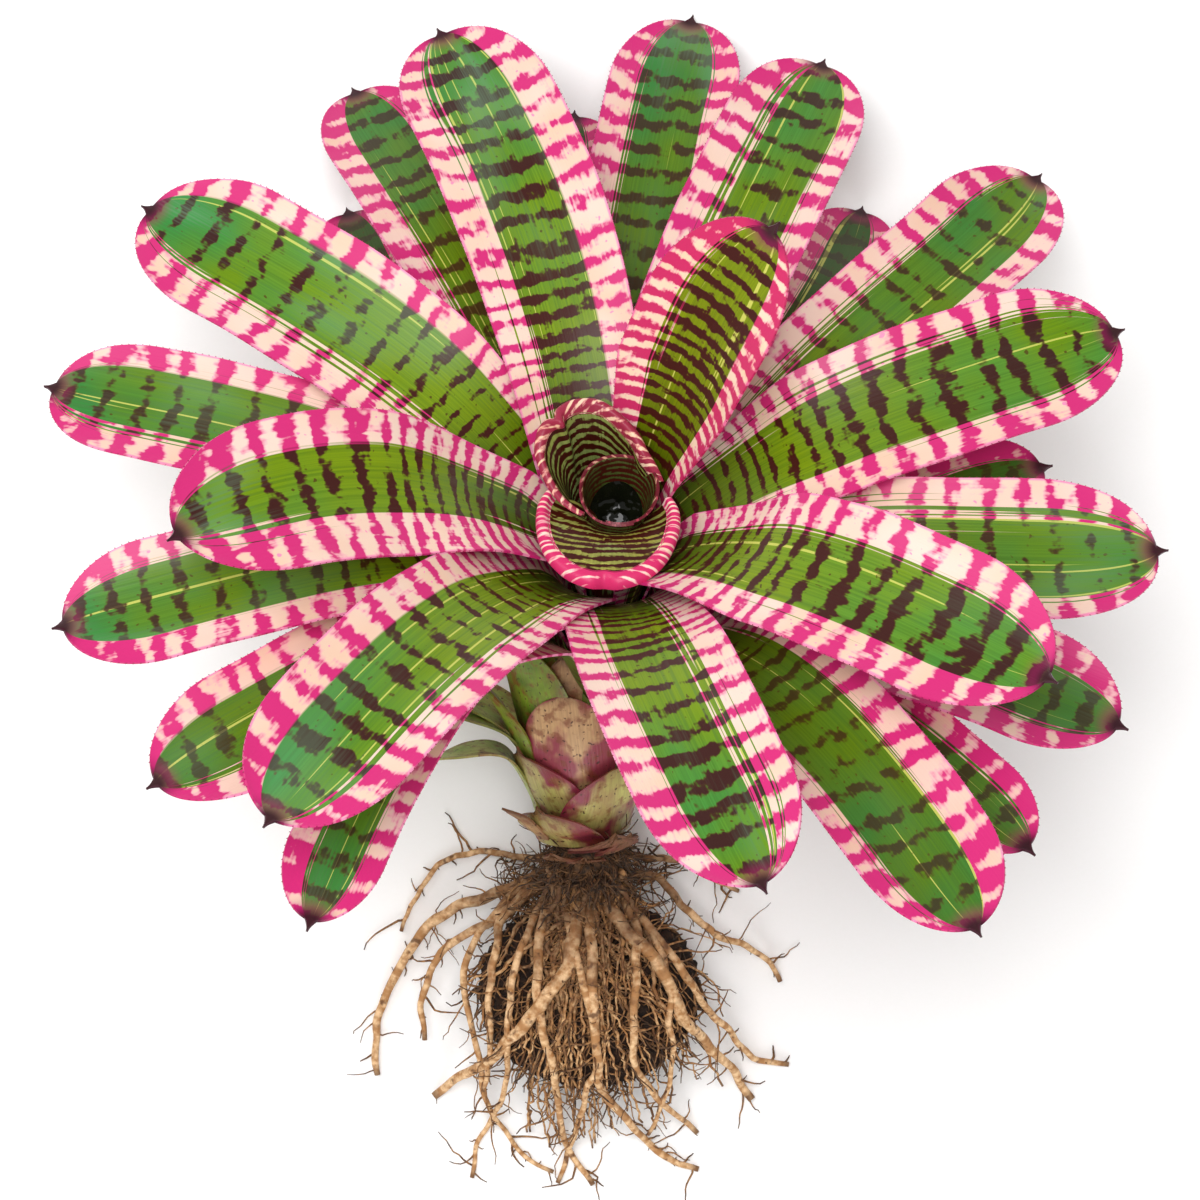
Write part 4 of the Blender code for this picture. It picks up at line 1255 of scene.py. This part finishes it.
# %% Bark
def bark_paint(name, pale, deep, scar, soil_and_shade=0.0):
    """Corky root bark: tan, with darker rings at the joints, small dark scars and a dark cut tip."""
    made, node, shader = new_material(name)
    place = node("TexCoord").node.outputs["Object"]
    _, along, seed, length = stored(node, "strand")
    ring_place = node("CombineXYZ", (along, seed))
    rings = streaks(node, ring_place, (190.0, 3.0, 0.0), 2.0)
    rings = node("MapRange", (rings, 0.52, 0.62, 0.0, 0.9))
    grain = node("TexNoise", (place, 420.0, 3.0))
    grain_soft = node("MapRange", (grain, 0.38, 0.66))
    scars = patches(node, place, 260.0, 2.0, 0.6, 0.7, 0.85)

    # Soil clings to the first stretch, in patches, which also darkens it near the crown as painted shade,
    # and the tip is dark.
    soil_and_shade_patches = node("TexNoise", (place, 150.0, 3.0))
    soil_and_shade_patches = node("Math", (along, soil_and_shade_patches), operation="MULTIPLY")
    # Soil and painted shade: the first stretch of each root darkens in patches towards the scar colour.
    soil = node("MapRange", (soil_and_shade_patches, 0.032, 0.012, 0.0, soil_and_shade))
    left = node("Math", (length, along), operation="SUBTRACT")
    tip = node("MapRange", (left, 0.0045, 0.001, 0.0, 0.75))
    layers = ((grain_soft, deep), (rings, deep), (scars, scar), (soil, scar), (tip, scar))
    bark = pale
    for share, tint in layers:
        bark = node("Mix", (share, bark, tint), data_type="RGBA")
    finish_paint(node, shader, bark, 0.75, grain, 0.7, 0.0005)
    return made


BARK = bark_paint("corky root bark", "#E4BE90", "#A67442", "#5C381C", 0.8)
PALE_BARK = bark_paint("pale thin root bark", "#D6AC7A", "#946232", "#4E301A", 0.8)
FINE_BARK = bark_paint("brown thin root bark", "#A87A4A", "#5E3A1C", "#382212")
print("nodes in the bark paint:", len(BARK.node_tree.nodes))
DARK_BARK = bark_paint("dark fine roots", "#74502E", "#3A2413", "#1E120A")


# %% Main roots and the crown
MAIN_SIDES = 12
CROWN_SIDES = 36
CROWN_ROUTE = ((-5.0, -84.0, 31.0), (-5.0, -92.0, 30.5), (-5.0, -100.0, 30.0), (-5.0, -108.0, 29.0))
CROWN_MIDDLE = -95.5
CROWN_HALF_LENGTH = 13.2
CROWN_RADIUS = 12.6


def main_root(entry, number):
    """A root along its route: it tapers, swells at its joints and wanders a little."""
    width, *plan = entry
    route = smooth_route([CROWN_CENTRE[:2], *plan], 2.2)
    share = np.linspace(0.0, 1.0, len(route))
    joints = np.array([noise.noise((s * len(route) / 3.1, number * 5.1, 0.0)) for s in share])
    radii = width / 2 * (1.0 - 0.55 * share**1.4) * (1.0 + 0.16 * joints) + 0.15
    wobble = [[noise.noise((s * 14.0, number * 2.3, k * 7.0)) for k in range(3)] for s in share]
    heights = np.array([root_height(x, y, r) for (x, y), r in zip(route, radii)])
    blend = smoothstep(share / 0.22)
    heights = CROWN_CENTRE[2] * (1.0 - blend) + heights * blend
    points = np.column_stack((route, heights))
    points += np.array(wobble) * (1.2, 1.2, 1.0) * np.minimum(1.0, share * 8.0)[:, None]
    points[:, 2] = np.maximum(points[:, 2], radii + 0.1)
    return points, radii


main = [main_root(entry, number) for number, entry in enumerate(ROOTS)]
crown = smooth_route(CROWN_ROUTE, 1.2)
bulge = 1.0 - ((crown[:, 1] - CROWN_MIDDLE) / CROWN_HALF_LENGTH) ** 2
crown_radii = CROWN_RADIUS * np.sqrt(np.clip(bulge, 0.02, 1.0))
main_piece = mesh_piece("corky_main_roots", [(p, r, MAIN_SIDES) for p, r in main], BARK)
crown_piece = mesh_piece("dark_root_crown", [(crown, crown_radii, CROWN_SIDES)], DARK_BARK)
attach(crown_piece, "root")
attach(main_piece, "root")
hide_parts("main_roots")
print("main roots:", len(main), "faces:", len(main_piece.data.polygons))


# %% Side roots
FINE_SIDES = 4
THIN_SIDES = 6


def side_root(luck, start, way, length, radius, droop):
    """A thin wandering root from a start, in its own way, that falls and never goes below ground."""
    steps = max(5, int(length / 2.4))
    points = [np.array(start, float)]
    way = np.array(way, float)
    for _ in range(steps):
        way = way + np.array([luck.gauss(0, 0.28), luck.gauss(0, 0.28), luck.gauss(0, 0.2) - droop])
        way /= np.linalg.norm(way)
        spot = points[-1] + way * length / steps
        spot[2] = max(spot[2], radius + 0.1)
        points.append(spot)
    return np.array(points), radius * np.linspace(1.0, 0.4, steps + 1), FINE_SIDES


def grow_from_main(luck, thin):
    """Side roots along each main root, most of them short."""
    for points, _ in main:
        for i in range(6, len(points) - 1):
            if luck.random() < 0.55:
                ahead = points[i + 1] - points[i]
                ahead /= np.linalg.norm(ahead)
                turn = luck.uniform(0.4, 1.5) * luck.choice((-1, 1))
                way = (*turned(ahead[0], ahead[1], -turn), luck.uniform(-0.4, 0.2))
                length = luck.choice((2.0, 4.0, 7.0, 12.0, 20.0))
                thin.append(side_root(luck, points[i], way, length, luck.uniform(0.28, 0.55), 0.06))


def grow_tangle(luck, thin, dark):
    """A tangle of fine roots about the first part of each main root."""
    for points, _ in main:
        for i in (i for i in range(3, 15) for _ in range(3)):
            astray = np.array([luck.gauss(0, 2.4), luck.gauss(0, 2.4), luck.gauss(-2.0, 3.0)])
            spot = points[i] + astray
            away = 0.02 * (spot[0] - CROWN_CENTRE[0])
            way = (luck.gauss(0, 0.9) + away, luck.gauss(-0.5, 0.8), luck.gauss(-0.1, 0.4))
            group = dark if luck.random() < 0.55 else thin
            length, radius = luck.uniform(6.0, 18.0), luck.uniform(0.25, 0.5)
            group.append(side_root(luck, spot, way, length, radius, 0.1))


def route_over_core(luck):
    """The plan of a thinner root that runs down over the lump."""
    start = (CROWN_CENTRE[0] + luck.uniform(-15, 15), -101.0 + luck.uniform(-5, 3))
    end = (start[0] + luck.gauss(0, 24), luck.uniform(-214, -140))
    end = (max(-58.0, min(46.0, end[0])), end[1] + 0.35 * abs(end[0] - CROWN_CENTRE[0]))
    middle = []
    for share in (0.25, 0.5, 0.75):
        x = start[0] + (end[0] - start[0]) * share + luck.gauss(0, 3.5)
        middle.append((x, start[1] + (end[1] - start[1]) * share + luck.gauss(0, 2.0)))
    return smooth_route([start, *middle, end], 2.2)


def grow_over_core(luck, thin, pale):
    """Thinner roots close to the lump's surface, with side roots of their own."""
    for k in range(78):
        plan = route_over_core(luck)
        radii = luck.uniform(0.45, 1.15) * np.linspace(1.0, 0.4, len(plan))
        sunk = luck.uniform(-3.6, -0.4)
        heights = [max(root_height(x, y, r) + sunk, r + 0.1) for (x, y), r in zip(plan, radii)]
        blend = smoothstep(np.linspace(0.0, 1.0, len(plan)) / 0.25)
        heights = (CROWN_CENTRE[2] + 8.0) * (1.0 - blend) + np.array(heights) * blend
        points = np.column_stack((plan, heights))
        points += np.array([[luck.gauss(0, 0.45) for _ in range(3)] for _ in plan])
        points[:, 2] = np.maximum(points[:, 2], radii + 0.1)
        (pale if k % 3 else thin).append((points, radii, THIN_SIDES))
        for i in range(3, len(points) - 1):
            if luck.random() < 0.30:
                way = (luck.gauss(0, 1.0), luck.gauss(-0.3, 0.8), luck.uniform(-0.2, 0.6))
                length, radius = luck.uniform(3.0, 10.0), luck.uniform(0.22, 0.4)
                thin.append(side_root(luck, points[i], way, length, radius, 0.1))


def grow_from_core(luck, thin, dark):
    """Fine roots out of the lump, all over its upper half."""
    for _ in range(430):
        angle, high = luck.uniform(0, 2 * math.pi), luck.random() ** 0.7
        flat = math.sqrt(1.0 - high * high)
        around = (flat * math.cos(angle), flat * math.sin(angle), high)
        spot = np.array(CORE_CENTRE) + np.array(CORE_AXES) * around
        way = (luck.gauss(0, 0.5) + 0.2 * around[0], luck.gauss(-0.9, 0.5), luck.gauss(0.0, 0.3))
        group = dark if luck.random() < 0.6 else thin
        length, radius = luck.uniform(6, 20), luck.uniform(0.3, 0.6)
        group.append(side_root(luck, spot, way, length, radius, 0.1))


def grow_crown_fibres(luck, fibres):
    """Fibres that cover the crown."""
    for _ in range(420):
        angle, place = luck.uniform(-0.15, math.pi + 0.15), luck.uniform(-106.0, -86.0)
        x, z = math.cos(angle), math.sin(angle)
        spot = (CROWN_CENTRE[0] + 11.5 * x, place, CROWN_CENTRE[2] + 11.5 * z)
        way = (x * 0.8 + luck.gauss(0, 0.6), luck.gauss(-0.8, 0.6), z * 0.5 + luck.gauss(0.0, 0.5))
        length, radius = luck.uniform(5, 17), luck.uniform(0.3, 0.65)
        fibres.append(side_root(luck, spot, way, length, radius, 0.12))


def add_side_roots():
    """All the thin roots, in four pieces by their bark. The draws depend on this order."""
    luck = random.Random(7)
    thin, pale, dark, fibres = [], [], [], []
    grow_from_main(luck, thin)
    grow_tangle(luck, thin, dark)
    grow_over_core(luck, thin, pale)
    grow_from_core(luck, thin, dark)
    grow_crown_fibres(luck, fibres)
    groups = (
        ("thin_side_roots", thin, FINE_BARK, "root_bark"),
        ("pale_thin_roots", pale, PALE_BARK, "root_bark"),
        ("dark_fine_roots", dark, DARK_BARK, "root_soil"),
        ("crown_root_fibres", fibres, DARK_BARK, "root_soil"),
    )
    for name, tubes, paint, slot in groups:
        piece = mesh_piece(name, tubes, paint)
        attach(piece, "root")
        print(name, len(tubes), "strands,", len(piece.data.polygons), "faces")


add_side_roots()


# %% The dark lump of fine roots and soil
def add_core():
    """A ball set to the lump's axes, roughened by noise and flattened where it lies."""
    bpy.ops.object.select_all(action="DESELECT")
    bpy.ops.mesh.primitive_ico_sphere_add(subdivisions=6, radius=1.0)
    core = bpy.context.object
    core.name = core.data.name = "soil_and_root_core"
    for vertex in core.data.vertices:
        way = vertex.co.normalized()
        rough = 1.1 * (noise.noise(way * 2.6) + 0.6 * noise.noise(way * 6.0)) - 1.2
        rough += 2.2 * noise.noise(way * 16.0) + 1.3 * noise.noise(way * 40.0)
        spot = Vector((way[i] * (CORE_AXES[i] + rough) + CORE_CENTRE[i] for i in range(3)))
        spot.z = max(spot.z, 0.0)
        vertex.co = spot * MM
    # Soil bound by root fibre: dark, dull and crumbly, paler where it has dried.
    made, node, shader = new_material("dark soil and root fibre")
    crumbs = node("TexNoise", (node("TexCoord").node.outputs["Object"], 330.0, 4.0, 0.7))
    soft = node("MapRange", (crumbs, 0.35, 0.68))
    soil = node("Mix", (soft, "#100804", "#3C2412"), data_type="RGBA")
    finish_paint(node, shader, soil, 0.95, crumbs, 1.0, 0.0015)
    core.data.materials.append(made)
    bpy.ops.object.shade_smooth()
    core.select_set(False)
    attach(core, "root")
    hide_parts("root_core")
    print("core:", len(core.data.polygons), "faces")


add_core()

# %% Last update of the scene
bpy.context.view_layer.update()
